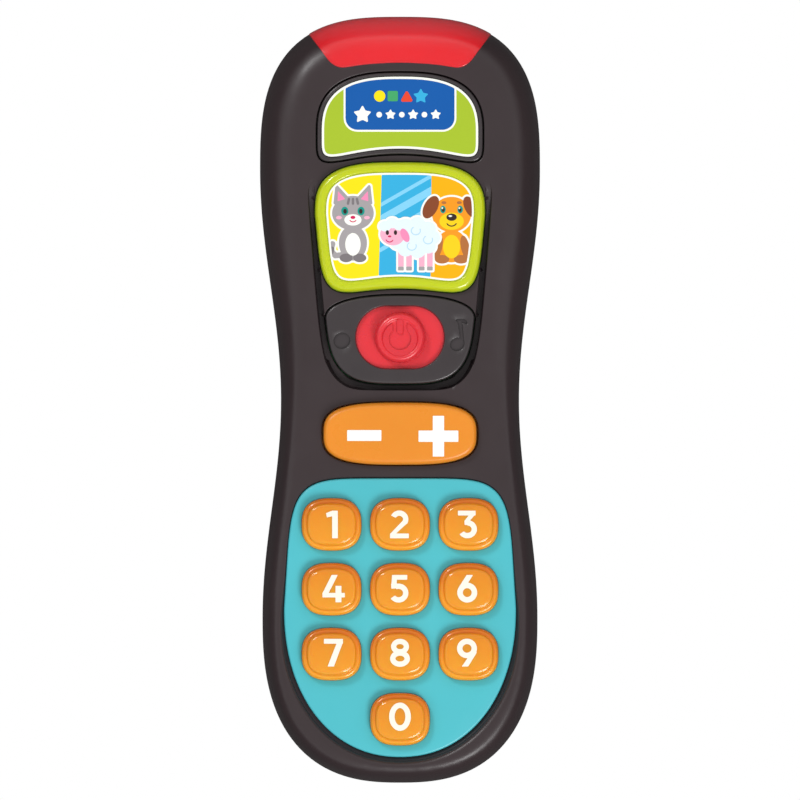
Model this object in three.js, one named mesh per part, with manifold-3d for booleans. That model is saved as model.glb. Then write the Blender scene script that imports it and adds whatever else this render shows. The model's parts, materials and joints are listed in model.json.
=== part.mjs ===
// A toddler's toy phone, lying on its back: a two-part shell in charcoal plastic, pinched at the waist, with
// a red signal lens over its top end, a picture button, a three-position slide switch, a volume rocker and
// ten number keys. Units are millimetres. +Z is up, out of the key face. +Y runs along the phone towards the
// lens. The origin is under the middle of the phone, on the surface that it lies on.
import * as THREE from "three";
import { mergeVertices } from "three/addons/utils/BufferGeometryUtils.js";
import Module from "manifold-3d";

const wasm = await Module();
wasm.setup();

// ---------------------------------------------------------------- driving dimensions

const LENGTH = 170;
const UPPER_HALF_WIDTH = 31.1; // of the lobe around the picture button
const LOWER_HALF_WIDTH = 30.55; // of the lobe around the keys
const WAIST_HALF_WIDTH = 26.45;
const UPPER_LOBE_Y = 51.1; // where the upper lobe is widest
const LOWER_LOBE_Y = -48.4;

const SEAM_Z = 14.5; // the parting plane between the two shells
const FACE_Z = 27; // the key face over both lobes
const FACE_DIP = 1.8; // how far the face sinks at the waist
const DIP_Y = -6;
const DIP_REACH = 50;
const WALL = 2;
const SKIN = 2.2; // thickness of the face and of the back
const FRONT_ROUND = 6.5; // how far the front edge's rounding reaches in from the silhouette
const REAR_ROUND = 10;
const EDGE_POWER = 2.4; // squareness of that rounding
const GAP = 0.3; // between pieces that touch on the real phone
const FLANGE = 0.9; // how far the flange of a piece that is held from behind reaches under the face

const BOARD_BOTTOM = 17.2;
const BOARD_TOP = 18.8;
const MAT_BOTTOM = BOARD_TOP + GAP;
const MAT_TOP = 19.7;

const KEY = { half: 6.6, tall: 5.8, power: 3, top: 29.4, flange: 0.65 };
const KEY_COLUMN = 15.15;
const KEY_ROWS = [-27.5, -41.85, -56.2, -70.6];
const PLATE_TOP = 26.2;
const PLATE_BOTTOM = 21.6;

const KNOB_Y = 13.85;
const KNOB_RADIUS = 5.67;
const SWITCH_TRAVEL = 2; // to each side of the middle position
const WINDOW = { halfLength: 9.9, halfHeight: 7.05 };

const CELL = { radius: 5.25, body: 43.5, nub: 1, nubRadius: 1.9, x: 5.6, z: 8.1 }; // a size AAA cell
const BAY = { half: 11.4, low: -60.5, high: -10, ceiling: 13.7, wall: 2.2 };
const DOOR = { half: 11.8, low: -66.2, high: -13.3, bottom: 0.15, top: 2.3, screwY: -64, tabX: 10.4 };

const SCREW = { bottom: 5.4, tip: 19.6 };
const SPEAKER = { y: 42, radius: 14 };
const DOME = { radius: 3, picture: [0, 38], rocker: 10.5 };
// The casing screws, mirrored in x: the place of each, and how high its post stands in the front shell. The
// lowest pair stops under the keypad plate.
const POSTS = [
  [23.5, 58, 25.4],
  [20.2, 2, 23.7],
  [23.9, -67.5, 21.3],
];

// Outlines, each symmetric about x = 0. half is the half width on the line y = mid; up and down are the reach
// above and below that line; power sets how square each half is; taper narrows a half towards its end; arch
// lifts the middle of the lower edge.
const KEYPAD = { half: 25.7, mid: -46, up: 28.65, down: 33.3, powerUp: 6, powerDown: 2.15, taperUp: 0.07 };
const ROCKER = { half: 17, mid: -7.45, up: 6.95, down: 6.95, powerUp: 3.4, powerDown: 3.4 };
const SWITCH_PLATE = { half: 16.6, mid: 18, up: 5.2, down: 14.4, powerUp: 2.3, powerDown: 4, taperDown: 0.1 };
const ISLAND = { half: 19, mid: 45, up: 8, down: 42, powerUp: 3, powerDown: 7, taperDown: 0.18 };
const TAPERED = { mid: 41, taperDown: 0.09, arch: 2.3 };
const PICTURE = { ...TAPERED, half: 18.85, up: 11.6, down: 18.7, powerUp: 3, powerDown: 5.2 };
const SCENE = { ...TAPERED, half: 16.4, up: 9.3, down: 16.1, powerUp: 3.2, powerDown: 6 };
const BADGE = { half: 18.3, mid: 59, up: 13.6, down: 7.1, powerUp: 2.7, powerDown: 5.5, arch: 2.6 };
const BADGE_LABEL = { half: 17.4, mid: 59, up: 12.7, down: 6.1, powerUp: 2.7, powerDown: 5.5, arch: 2.7 };

// ---------------------------------------------------------------- outlines

// Every outline starts at its lowest middle point and runs anticlockwise, so points i and count - i mirror
// each other.
function outline(shape, count = 28) {
  const { half, mid, up, down, powerUp, powerDown, taperUp = 0, taperDown = 0, arch = 0 } = shape;
  return Array.from({ length: count }, (_, i) => {
    const angle = -Math.PI / 2 + (2 * Math.PI * i) / count;
    const above = 4 * i > count && 4 * i < 3 * count;
    const power = above ? powerUp : powerDown;
    const along = Math.abs(Math.sin(angle)) ** (2 / power);
    const across = Math.abs(Math.cos(angle)) ** (2 / power);
    const width = half * across * (1 - (above ? taperUp : taperDown) * along);
    const y = above ? mid + up * along : mid - down * along + arch * (1 - across ** 2) * along;
    const side = i % (count / 2) === 0 ? 0 : Math.sign(count / 2 - i);
    return new THREE.Vector2(side * width, y);
  });
}

function lobeHalfWidth(halfWidth, share, power) {
  return halfWidth * (1 - share ** power) ** (1 / power);
}

function waistHalfWidth(halfWidth, share) {
  return WAIST_HALF_WIDTH + ((halfWidth - WAIST_HALF_WIDTH) * (1 - Math.cos(Math.PI * share))) / 2;
}

function bodyHalfWidth(y) {
  const upperReach = LENGTH / 2 - UPPER_LOBE_Y;
  const lowerReach = LENGTH / 2 + LOWER_LOBE_Y;
  if (y >= UPPER_LOBE_Y) return lobeHalfWidth(UPPER_HALF_WIDTH, (y - UPPER_LOBE_Y) / upperReach, 2.88);
  if (y <= LOWER_LOBE_Y) return lobeHalfWidth(LOWER_HALF_WIDTH, (LOWER_LOBE_Y - y) / lowerReach, 2.55);
  if (y > 0) return waistHalfWidth(UPPER_HALF_WIDTH, y / UPPER_LOBE_Y);
  return waistHalfWidth(LOWER_HALF_WIDTH, y / LOWER_LOBE_Y);
}

// The silhouette: rows are close together at the two round ends and even along the sides.
function bodyOutline() {
  const endRows = 7;
  const sideRows = 12;
  const reaches = Array.from({ length: endRows - 1 }, (_, i) => {
    return Math.cos((Math.PI / 2) * ((i + 1) / endRows)) ** 0.75;
  });
  const lower = reaches.map((reach) => LOWER_LOBE_Y - (LENGTH / 2 + LOWER_LOBE_Y) * reach);
  const upper = reaches.map((reach) => UPPER_LOBE_Y + (LENGTH / 2 - UPPER_LOBE_Y) * reach);
  const sides = Array.from({ length: sideRows + 1 }, (_, i) => {
    return LOWER_LOBE_Y + ((UPPER_LOBE_Y - LOWER_LOBE_Y) * i) / sideRows;
  });
  const rows = [...lower, ...sides, ...upper.reverse()];
  const right = rows.map((y) => new THREE.Vector2(bodyHalfWidth(y), y));
  const left = rows.map((y) => new THREE.Vector2(-bodyHalfWidth(y), y)).reverse();
  return [new THREE.Vector2(0, -LENGTH / 2), ...right, new THREE.Vector2(0, LENGTH / 2), ...left];
}

const BODY = bodyOutline();

// The outline moved outwards by distance, or inwards where it is negative.
function offset(points, distance) {
  const count = points.length;
  return points.map((point, i) => {
    const along = points[(i + 1) % count].clone().sub(points[(i + count - 1) % count]).normalize();
    return new THREE.Vector2(point.x + along.y * distance, point.y - along.x * distance);
  });
}

function stadium(halfLength, halfHeight, y, count = 28) {
  return Array.from({ length: count }, (_, i) => {
    const angle = -Math.PI / 2 + (2 * Math.PI * (i + 0.5)) / count;
    const side = Math.sign(Math.cos(angle)) * (halfLength - halfHeight);
    return new THREE.Vector2(side + halfHeight * Math.cos(angle), y + halfHeight * Math.sin(angle));
  });
}

function rectangle(x0, y0, x1, y1) {
  const corners = [[x0, y0], [x1, y0], [x1, y1], [x0, y1]];
  return corners.map(([x, y]) => new THREE.Vector2(x, y));
}

const mirrored = (places) => places.flatMap(([x, ...rest]) => [[x, ...rest], [-x, ...rest]]);

// ---------------------------------------------------------------- solids

function toSolid(geometry) {
  const loose = geometry.index ? geometry.toNonIndexed() : geometry.clone();
  loose.deleteAttribute("normal");
  loose.deleteAttribute("uv");
  const merged = mergeVertices(loose, 1e-4);
  const triVerts = new Uint32Array(merged.index.array);
  const vertProperties = merged.attributes.position.array;
  return new wasm.Manifold(new wasm.Mesh({ numProp: 3, vertProperties, triVerts }));
}

function toGeometry(solid) {
  const mesh = solid.getMesh();
  const positions = new Float32Array(mesh.numVert * 3);
  for (let i = 0; i < mesh.numVert; i++) {
    positions.set(mesh.vertProperties.subarray(i * mesh.numProp, i * mesh.numProp + 3), i * 3);
  }
  const geometry = new THREE.BufferGeometry();
  geometry.setAttribute("position", new THREE.BufferAttribute(positions, 3));
  geometry.setIndex(new THREE.BufferAttribute(mesh.triVerts, 1));
  geometry.computeVertexNormals();
  return geometry;
}

const join = (...solids) => solids.reduce((all, one) => all.add(one));
const cut = (solid, ...tools) => tools.reduce((left, tool) => left.subtract(tool), solid);

function prism(points, bottom, top) {
  const settings = { depth: top - bottom, bevelEnabled: false };
  return toSolid(new THREE.ExtrudeGeometry(new THREE.Shape(points), settings).translate(0, 0, bottom));
}

// A prism whose upper edge is bevelled inside the outline.
function softPrism(points, bottom, top, bevel) {
  const rings = [[0, bottom], [0, top - bevel], [bevel, top]];
  return loft(rings.map(([inwards, z]) => offset(points, -inwards).map(({ x, y }) => [x, y, z])));
}

function block(x0, y0, z0, x1, y1, z1) {
  const box = new THREE.BoxGeometry(x1 - x0, y1 - y0, z1 - z0);
  return toSolid(box.translate((x0 + x1) / 2, (y0 + y1) / 2, (z0 + z1) / 2));
}

function post(x, y, radius, bottom, top, sides = 14) {
  const cylinder = new THREE.CylinderGeometry(radius, radius, top - bottom, sides);
  return toSolid(cylinder.rotateX(Math.PI / 2).translate(x, y, (bottom + top) / 2));
}

// A turned solid about an upright axis. The profile lists [radius, height] upwards, from axis to axis.
function turned(profile, sides = 16) {
  const points = profile.map(([radius, height]) => new THREE.Vector2(radius, height));
  return toSolid(new THREE.LatheGeometry(points, sides).rotateX(Math.PI / 2));
}

// A closed skin through rings of equal length, listed upwards. Each ring mirrors itself in x, so each end is
// closed by rungs from side to side.
function loft(rings) {
  const count = rings[0].length;
  const positions = [];
  const face = (first, ...others) => {
    for (let k = 1; k < others.length; k++) positions.push(...first, ...others[k - 1], ...others[k]);
  };
  for (let k = 0; k + 1 < rings.length; k++) {
    for (let i = 0; i < count; i++) {
      const next = (i + 1) % count;
      face(rings[k][i], rings[k][next], rings[k + 1][next], rings[k + 1][i]);
    }
  }
  const [low, high] = [rings[0], rings[rings.length - 1]];
  const last = count / 2 - 1;
  for (let i = 0; i <= last; i++) {
    const mirror = (count - i) % count;
    const rung = [i, i + 1, count - i - 1, mirror];
    const corners = i === 0 ? rung.slice(0, 3) : i === last ? [i, i + 1, mirror] : rung;
    face(...corners.map((corner) => high[corner]));
    face(...corners.map((corner) => low[corner]).reverse());
  }
  const geometry = new THREE.BufferGeometry();
  geometry.setAttribute("position", new THREE.BufferAttribute(new Float32Array(positions), 3));
  return toSolid(geometry);
}

function dip(y) {
  const share = Math.min(1, Math.abs(y - DIP_Y) / DIP_REACH);
  return (FACE_DIP * (1 + Math.cos(Math.PI * share))) / 2;
}

// One half of the casing as a full solid, from the seam outwards: rings move in from the silhouette by a
// quarter of a superellipse. side is 1 for the key side and -1 for the back.
function casingHalf(side, { inset, seam, end, round, steps }) {
  const rings = Array.from({ length: steps + 1 }, (_, k) => {
    const angle = (Math.PI / 2) * (k / steps);
    const inwards = inset + round * (1 - Math.cos(angle) ** (2 / EDGE_POWER));
    const outwards = Math.sin(angle) ** (2 / EDGE_POWER);
    return offset(BODY, -inwards).map(({ x, y }) => {
      const reach = end - seam - (side > 0 ? dip(y) : 0);
      return [x, y, seam + reach * outwards];
    });
  });
  return loft(side > 0 ? rings : rings.reverse());
}

// ---------------------------------------------------------------- materials

const plastic = (color, roughness) => new THREE.MeshStandardMaterial({ color, roughness, metalness: 0 });
const metal = (color, roughness) => new THREE.MeshStandardMaterial({ color, roughness, metalness: 1 });
const CHARCOAL = plastic(0x453f41, 0.45);
const RED = plastic(0xe8363f, 0.25);
const ORANGE = plastic(0xf7941e, 0.3);
const ORANGE_SOLID = plastic(0xf4993c, 0.45);
const TURQUOISE = plastic(0x52c2cd, 0.4);
const LIME = plastic(0xbada2c, 0.3);
const PRINT = plastic(0xb5cc41, 0.5);
const SILICONE = plastic(0xd9d9d2, 0.7);
const BOARD = plastic(0x1f6b3a, 0.5);
const BLACK = plastic(0x161616, 0.3);
const NICKEL = metal(0xc9c7c0, 0.35);
const STEEL = metal(0xb4b6b8, 0.35);
const CELL_JACKET = plastic(0x2f6fb0, 0.35);
const LEAD_RED = plastic(0xc8202a, 0.5);

const phone = new THREE.Group();

function add(name, solid, material) {
  const mesh = new THREE.Mesh(toGeometry(solid), material);
  mesh.name = name;
  phone.add(mesh);
}

// ---------------------------------------------------------------- casing

const ISLAND_BOTTOM = FACE_Z - SKIN - 0.8;
const FRONT_SEAM = SEAM_Z + GAP / 2;
const REAR_SEAM = SEAM_Z - GAP / 2;
const hollow = { inset: WALL, steps: 3 };
const frontOuter = casingHalf(1, { inset: 0, seam: FRONT_SEAM, end: FACE_Z, round: FRONT_ROUND, steps: 5 });
const frontInner = casingHalf(1, { ...hollow, seam: SEAM_Z - 1, end: FACE_Z - SKIN, round: 2.5 });
const rearOuter = casingHalf(-1, { inset: 0, seam: REAR_SEAM, end: 0, round: REAR_ROUND, steps: 5 });
const rearInner = casingHalf(-1, { ...hollow, seam: SEAM_Z + 1, end: SKIN, round: REAR_ROUND - 1 });
const postSpots = mirrored(POSTS);

// The lens covers the top end above an arched lower edge with round corners and flared sides.
function lensRegion(grow) {
  const arch = [-3, -2, -1, 0, 1, 2, 3].map((step) => new THREE.Vector2(4 * step, 74.8 - 0.1 * step ** 2));
  const corner = new THREE.QuadraticBezierCurve(
    new THREE.Vector2(12, 73.9),
    new THREE.Vector2(14.6, 73.6),
    new THREE.Vector2(16.4, 76.2),
  );
  const right = [...corner.getPoints(3).slice(1), new THREE.Vector2(20.4, 81.2), new THREE.Vector2(26, 90)];
  const left = right.map(({ x, y }) => new THREE.Vector2(-x, y)).reverse();
  return prism(offset([...arch, ...right, ...left], grow), SEAM_Z - 2, FACE_Z + 2);
}

// A groove of sloping depth runs in a U round the switch, so that the switch and the picture button stand on
// an island.
function trough() {
  const width = 1.2;
  const slope = 3.4;
  const ring = cut(prism(offset(outline(ISLAND), width), 0, 9), prism(outline(ISLAND), -1, 10));
  const arms = cut(ring, block(-40, UPPER_LOBE_Y - 2, -1, 40, 90, 10));
  return arms
    .translate([0, -UPPER_LOBE_Y, 0])
    .rotate([slope, 0, 0])
    .translate([0, UPPER_LOBE_Y, FACE_Z]);
}

function frontShell() {
  const raised = prism(outline(ISLAND), ISLAND_BOTTOM, FACE_Z);
  const island = raised.intersect(block(-30, 20.5, 20, 30, 50, 40));
  const posts = postSpots.map(([x, y, top]) => post(x, y, 2.6, FRONT_SEAM, top, 10));
  const pilots = postSpots.map(([x, y, top]) => post(x, y, 1.3, SEAM_Z - 1, top - 1, 8));
  const openings = [
    prism(offset(outline(KEYPAD, 40), GAP), 10, 40),
    prism(offset(outline(ROCKER), 0.5), 10, 40),
    prism(offset(outline(SWITCH_PLATE), GAP), 10, 40),
    raised.translate([0, 0, -5]).add(raised).intersect(block(-30, 0, 15, 30, 13, 30)),
    prism(offset(outline(PICTURE), GAP), 10, 40),
    prism(offset(outline(BADGE), GAP), 10, 40),
    lensRegion(GAP / 2),
  ];
  const skin = cut(join(cut(frontOuter, trough()), island), frontInner, ...openings);
  return cut(join(skin, ...posts), ...pilots);
}

function signalLens() {
  return cut(frontOuter.intersect(lensRegion(-GAP / 2)), frontInner);
}

// Rings of round holes over the speaker.
function grilleHoles() {
  const rings = [[0, 1], [4.2, 6], [8.4, 12]];
  return rings.flatMap(([radius, count]) => {
    return Array.from({ length: count }, (_, i) => {
      const angle = (2 * Math.PI * i) / count;
      return post(radius * Math.sin(angle), SPEAKER.y + radius * Math.cos(angle), 1.2, -1, SKIN + 1, 6);
    });
  });
}

// A tongue along the seam locates the front shell.
function seamTongue() {
  const shelf = cut(prism(offset(BODY, -1.2), SEAM_Z - 3, REAR_SEAM), prism(offset(BODY, -3.3), 0, 30));
  const tongue = cut(prism(offset(BODY, -2.3), SEAM_Z - 1, SEAM_Z + 1.8), prism(offset(BODY, -3.3), 0, 30));
  return join(shelf, tongue);
}

// The back holds the battery bay, the speaker's ring and grille, and the tubes that the casing screws go
// through.
function rearShell() {
  const seat = SCREW.bottom + 1.5;
  const tubes = postSpots.map(([x, y]) => post(x, y, 3.3, 0, REAR_SEAM, 10).intersect(rearOuter));
  const wells = postSpots.map(([x, y]) => post(x, y, 2.5, -1, seat, 10));
  const holes = postSpots.map(([x, y]) => post(x, y, 1.4, 0, 30, 8));
  const sockets = postSpots.map(([x, y]) => post(x, y, 2.95, REAR_SEAM, 30, 10));
  const { half, low, high, ceiling, wall } = BAY;
  const bay = block(-half - wall, low - 1.5, 1, half + wall, high + 1.5, ceiling + 1.3);
  const bayHollow = block(-half, low, SKIN, half, high, ceiling);
  const [doorHalf, doorLow, doorHigh] = [DOOR.half + GAP, DOOR.low - GAP, DOOR.high + GAP];
  const doorway = block(-doorHalf, doorLow, -1, doorHalf, doorHigh, DOOR.top + GAP);
  const screwPost = post(0, DOOR.screwY, 2.6, DOOR.top + GAP, 12, 10);
  const screwHole = post(0, DOOR.screwY, 1.55, 0, 9.5, 8);
  const ring = post(0, SPEAKER.y, SPEAKER.radius + 1.9, 1, 5, 20);
  const ringHollow = post(0, SPEAKER.y, SPEAKER.radius + 0.5, SKIN, 9, 20);
  const shell = join(cut(rearOuter, rearInner), seamTongue(), bay, cut(ring, ringHollow), ...tubes);
  const fitted = join(cut(shell, bayHollow, doorway), screwPost);
  return cut(fitted, screwHole, ...wells, ...holes, ...sockets, ...grilleHoles());
}

// The door hooks under the back's edge by two tabs, and a captive screw holds its other end.
function batteryDoor() {
  const { half, low, high, bottom, top, screwY, tabX } = DOOR;
  const panel = block(-half, low, bottom, half, high, top);
  const tabs = [-tabX, tabX].map((x) => {
    const stem = block(x - 0.8, high - 3, top - 0.5, x + 0.8, high - 0.1, 3.3);
    return join(stem, block(x - 0.8, high - 1, top + GAP, x + 0.8, high + 2.4, 3.3));
  });
  const recess = post(0, screwY, 2.5, -1, 1.8, 10);
  return cut(join(panel, ...tabs), recess, post(0, screwY, 1.35, -1, 9, 8));
}

// A pan-head screw standing head down, with a cross recess in its head.
function screw(x, y, headZ, headRadius, shankTop) {
  const shank = 1.05;
  const headTop = 1.15;
  const length = shankTop - headZ;
  const head = [[0, 0], [headRadius * 0.8, 0], [headRadius, 0.4], [headRadius, headTop], [shank, headTop]];
  const blank = turned([...head, [shank, length - 1.2], [0, length]], 8);
  const reach = headRadius * 0.62;
  const slots = [block(-reach, -0.22, -1, reach, 0.22, 0.6), block(-0.22, -reach, -1, 0.22, reach, 0.6)];
  return cut(blank, ...slots).translate([x, y, headZ]);
}

add("front_shell", frontShell(), CHARCOAL);
add("rear_shell", rearShell(), CHARCOAL);
add("signal_lens", signalLens(), RED);
add("battery_door", batteryDoor(), CHARCOAL);
add("battery_door_screw", screw(0, DOOR.screwY, 0.4, 2, 8.2), STEEL);
postSpots.forEach(([x, y], i) => {
  add(`casing_screw_${i + 1}`, screw(x, y, SCREW.bottom, 2.1, SCREW.tip), STEEL);
});

// ---------------------------------------------------------------- badge and picture button

function badgeFrame() {
  const edge = outline(BADGE);
  const flange = prism(offset(edge, FLANGE), 23.6, 24.4);
  const pocket = prism(offset(outline(BADGE_LABEL), 0.1), 26.4, 30);
  const hollow = prism(offset(edge, -1.6), 20, 25.2);
  return cut(join(softPrism(edge, 23.6, 27.3, 0.4), flange), pocket, hollow);
}

// The button is a hollow cap. Flanges at its two sides keep it in, and a stem stands over its rubber dome.
function pictureButton() {
  const edge = outline(PICTURE);
  const cap = softPrism(edge, 21.3, 28.9, 1);
  const flangeTop = ISLAND_BOTTOM - GAP;
  const ring = prism(offset(edge, FLANGE), flangeTop - 1, flangeTop);
  const flanges = ring.intersect(block(-30, 31, 20, 30, 48, 30));
  const hollow = prism(offset(edge, -2), 20, 26.6);
  const pocket = prism(offset(outline(SCENE), 0.1), 28.3, 30);
  const stem = post(...DOME.picture, 2.5, 21.3, 27);
  return cut(join(cut(join(cap, flanges), hollow), stem), pocket);
}

add("badge_frame", badgeFrame(), CHARCOAL);
add("badge_label", prism(offset(outline(BADGE_LABEL), -0.2), 26.7, 27), PRINT);
add("picture_button", pictureButton(), LIME);
add("picture_label", prism(offset(outline(SCENE), -0.2), 28.6, 28.85), PRINT);

// ---------------------------------------------------------------- slide switch

function switchPlate() {
  const { halfLength, halfHeight } = WINDOW;
  const edge = outline(SWITCH_PLATE);
  const flange = prism(offset(edge, FLANGE), 21.9, 22.6).intersect(block(-30, 0, 20, 30, 19, 30));
  const chamber = prism(stadium(halfLength + 2 * SWITCH_TRAVEL + 0.9, halfHeight + 0.75, KNOB_Y), 20, 26);
  const window = prism(stadium(halfLength, halfHeight, KNOB_Y), 20, 30);
  return cut(join(softPrism(edge, 21.9, 27, 0.5), flange), chamber, window);
}

// The slider's base stays under the whole window at both ends of its travel. Its knob has a dished top.
function switchSlider() {
  const base = stadium(WINDOW.halfLength + SWITCH_TRAVEL + 0.4, WINDOW.halfHeight + 0.4, KNOB_Y);
  const side = [[0, 25], [KNOB_RADIUS, 25], [KNOB_RADIUS, 27.6], [5.3, 28.5], [4.6, 28.9]];
  const knob = turned([...side, [3.6, 28.7], [0, 28.2]], 24);
  const fork = block(-1.2, KNOB_Y - 1.2, 20, 1.2, KNOB_Y + 1.2, 25.3);
  return cut(join(prism(base, 24.5, 25.7), knob.translate([0, KNOB_Y, 0])), fork);
}

add("switch_plate", switchPlate(), CHARCOAL);
add("switch_slider", switchSlider(), RED);
add("switch_lever", block(-0.9, KNOB_Y - 0.9, 22.6, 0.9, KNOB_Y + 0.9, 25), BLACK);
add("slide_switch", block(-6, KNOB_Y - 2.8, BOARD_TOP + GAP, 6, KNOB_Y + 2.8, 22.3), NICKEL);

// ---------------------------------------------------------------- volume rocker

function volumeRocker() {
  const edge = outline(ROCKER);
  const flange = prism(offset(edge, FLANGE), 20.9, 21.6);
  const hollow = cut(prism(offset(edge, -2.2), 20, 25.6), block(-1.2, -20, 0, 1.2, 5, 40));
  const rib = block(-1, ROCKER.mid - 4.5, 20.1, 1, ROCKER.mid + 4.5, 24);
  const plungers = [-1, 1].map((side) => post(side * DOME.rocker, ROCKER.mid, 2, 21.5, 26, 10));
  return join(cut(join(softPrism(edge, 20.9, 27.9, 1.2), flange), hollow), rib, ...plungers);
}

// A rubber mat with a dome under each plunger.
function domeMat(base, spots, domeTop) {
  const foot = MAT_BOTTOM + 0.1;
  const dome = turned([[0, foot], [DOME.radius, foot], [2, domeTop - 0.3], [1.6, domeTop], [0, domeTop]], 8);
  return join(prism(base, MAT_BOTTOM, MAT_TOP), ...spots.map(([x, y]) => dome.translate([x, y, 0])));
}

const [pictureX, pictureY] = DOME.picture;
const pictureBase = rectangle(pictureX - 5, pictureY - 5, pictureX + 5, pictureY + 5);
const rockerBase = rectangle(-DOME.rocker - 4, ROCKER.mid - 4, DOME.rocker + 4, ROCKER.mid + 4);
const rockerDomes = mirrored([[DOME.rocker, ROCKER.mid]]);
add("volume_rocker", volumeRocker(), ORANGE_SOLID);
add("rocker_mat", domeMat(rockerBase, rockerDomes, 21.2), SILICONE);
add("picture_mat", domeMat(pictureBase, [DOME.picture], 21), SILICONE);

// ---------------------------------------------------------------- number keys

const upperKeys = KEY_ROWS.slice(0, 3).flatMap((y) => [-1, 0, 1].map((column) => [column * KEY_COLUMN, y]));
const keySpots = [...upperKeys, [0, KEY_ROWS[3]]];
const digits = [1, 2, 3, 4, 5, 6, 7, 8, 9, 0];

function keyOutline([x, y], grow) {
  const { half, tall, power } = KEY;
  const reach = tall + grow;
  const shape = { half: half + grow, mid: 0, up: reach, down: reach, powerUp: power, powerDown: power };
  return outline(shape, 16).map((point) => new THREE.Vector2(point.x + x, point.y + y));
}

function keypadPlate() {
  const edge = outline(KEYPAD, 40);
  const flange = prism(offset(edge, 0.7), PLATE_BOTTOM, PLATE_BOTTOM + 0.6);
  const hollow = prism(offset(edge, -1), PLATE_BOTTOM - 1, PLATE_TOP - WALL);
  const holes = keySpots.map((spot) => prism(keyOutline(spot, GAP), 20, 30));
  return cut(join(prism(edge, PLATE_BOTTOM, PLATE_TOP), flange), hollow, ...holes);
}

// A key: a flange under the plate, a stepped cap that stands through it, and a plunger over its dome. It is
// made at x = 0 and moved to its column, because a loft needs a ring that mirrors itself in x.
function numberKey([x, y]) {
  const home = [0, y];
  const flange = prism(keyOutline(home, KEY.flange), 22.4, PLATE_TOP - WALL - GAP);
  const cap = softPrism(keyOutline(home, 0), 23, KEY.top - 0.5, 1);
  const crown = prism(keyOutline(home, -1.6), KEY.top - 1, KEY.top);
  return join(flange, cap, crown, post(...home, 2.2, 21.5, 23, 8)).translate([x, 0, 0]);
}

add("keypad_plate", keypadPlate(), TURQUOISE);
keySpots.forEach((spot, i) => add(`key_${digits[i]}`, numberKey(spot), ORANGE));
add("key_mat", domeMat(offset(outline(KEYPAD), -4), keySpots, 21.2), SILICONE);

// ---------------------------------------------------------------- electronics

function mainBoard() {
  const sheet = prism(offset(BODY, -9.4), BOARD_BOTTOM, BOARD_TOP).intersect(block(-40, -90, 0, 40, 66, 30));
  return cut(sheet, ...postSpots.map(([x, y]) => post(x, y, 3.1, 10, 30)));
}

const speakerFront = [[0, 3.4], [6, 2.8], [12, 3.6], [13, 2.6], [SPEAKER.radius, 2.6]];
const speakerRear = [[SPEAKER.radius, 3.8], [12, 4.4], [8, 8], [6.5, 8], [6.5, 11.5], [0, 11.5]];
const lampProfile = [[0, 0], [2.9, 0], [2.9, 0.9], [2.5, 0.9], [2.5, 3.2], [1.8, 4.6], [0, 5.2]];

add("main_board", mainBoard(), BOARD);
add("epoxy_chip", turned([[0, 15.3], [3.6, 15.7], [5, 16.9], [0, 16.9]]).translate([0, 12, 0]), BLACK);
add("speaker", turned([...speakerFront, ...speakerRear], 24).translate([0, SPEAKER.y, 0]), BLACK);
add("signal_led", turned(lampProfile, 12).rotate([-90, 0, 0]).translate([0, 66.3, 20.4]), RED);
add("picture_led", turned(lampProfile, 12).translate([9, pictureY, BOARD_TOP + GAP]), LIME);

// ---------------------------------------------------------------- battery bay

// A cell lies along Y; its nub points up the phone when side is 1 and down it when side is -1.
function batteryCell(side) {
  const { radius, body, nub, nubRadius, x, z } = CELL;
  const can = [[0, 0], [radius - 0.4, 0], [radius, 0.4], [radius, body - 0.4], [radius - 0.4, body]];
  const standing = turned([...can, [nubRadius, body], [nubRadius, body + nub], [0, body + nub]]);
  const end = side > 0 ? BAY.high - 1 - body - nub : BAY.low + 1 + body + nub;
  return standing.rotate([side > 0 ? -90 : 90, 0, 0]).translate([-side * x, end, z]);
}

function sweep(path, radius, sides, steps) {
  const section = new THREE.Shape().absarc(0, 0, radius, 0, 2 * Math.PI);
  const points = section.getPoints(sides / 2).slice(0, sides);
  const settings = { steps, extrudePath: path, bevelEnabled: false };
  return toSolid(new THREE.ExtrudeGeometry(new THREE.Shape(points), settings));
}

// A conical contact spring, wound upwards about +Z.
class SpringPath extends THREE.Curve {
  getPoint(t, target = new THREE.Vector3()) {
    const angle = 2 * Math.PI * 2.5 * t;
    const radius = 3.4 - 1.6 * t;
    return target.set(radius * Math.cos(angle), radius * Math.sin(angle), 0.3 + 3.3 * t);
  }
}

// A contact stands on one of the bay's end walls: the lower wall when side is 1, the upper when it is -1.
function contact(side, x, sprung) {
  const plate = block(-4.4, -3.9, 0, 4.4, 4.2, 0.4);
  const face = sprung ? join(plate, sweep(new SpringPath(), 0.3, 6, 26)) : plate;
  const wall = side > 0 ? BAY.low + GAP : BAY.high - GAP;
  return face.rotate([side > 0 ? -90 : 90, 0, 0]).translate([x, wall, CELL.z + 0.3]);
}

add("battery_left", batteryCell(1), CELL_JACKET);
add("battery_right", batteryCell(-1), CELL_JACKET);
add("contact_spring_left", contact(1, -CELL.x, true), NICKEL);
add("contact_plate_right", contact(1, CELL.x, false), NICKEL);
add("contact_plate_left", contact(-1, -CELL.x, false), NICKEL);
add("contact_spring_right", contact(-1, CELL.x, true), NICKEL);

// ---------------------------------------------------------------- leads

function lead(points) {
  const path = new THREE.CatmullRomCurve3(points.map((point) => new THREE.Vector3(...point)));
  return sweep(path, 0.55, 6, 12);
}

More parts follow.
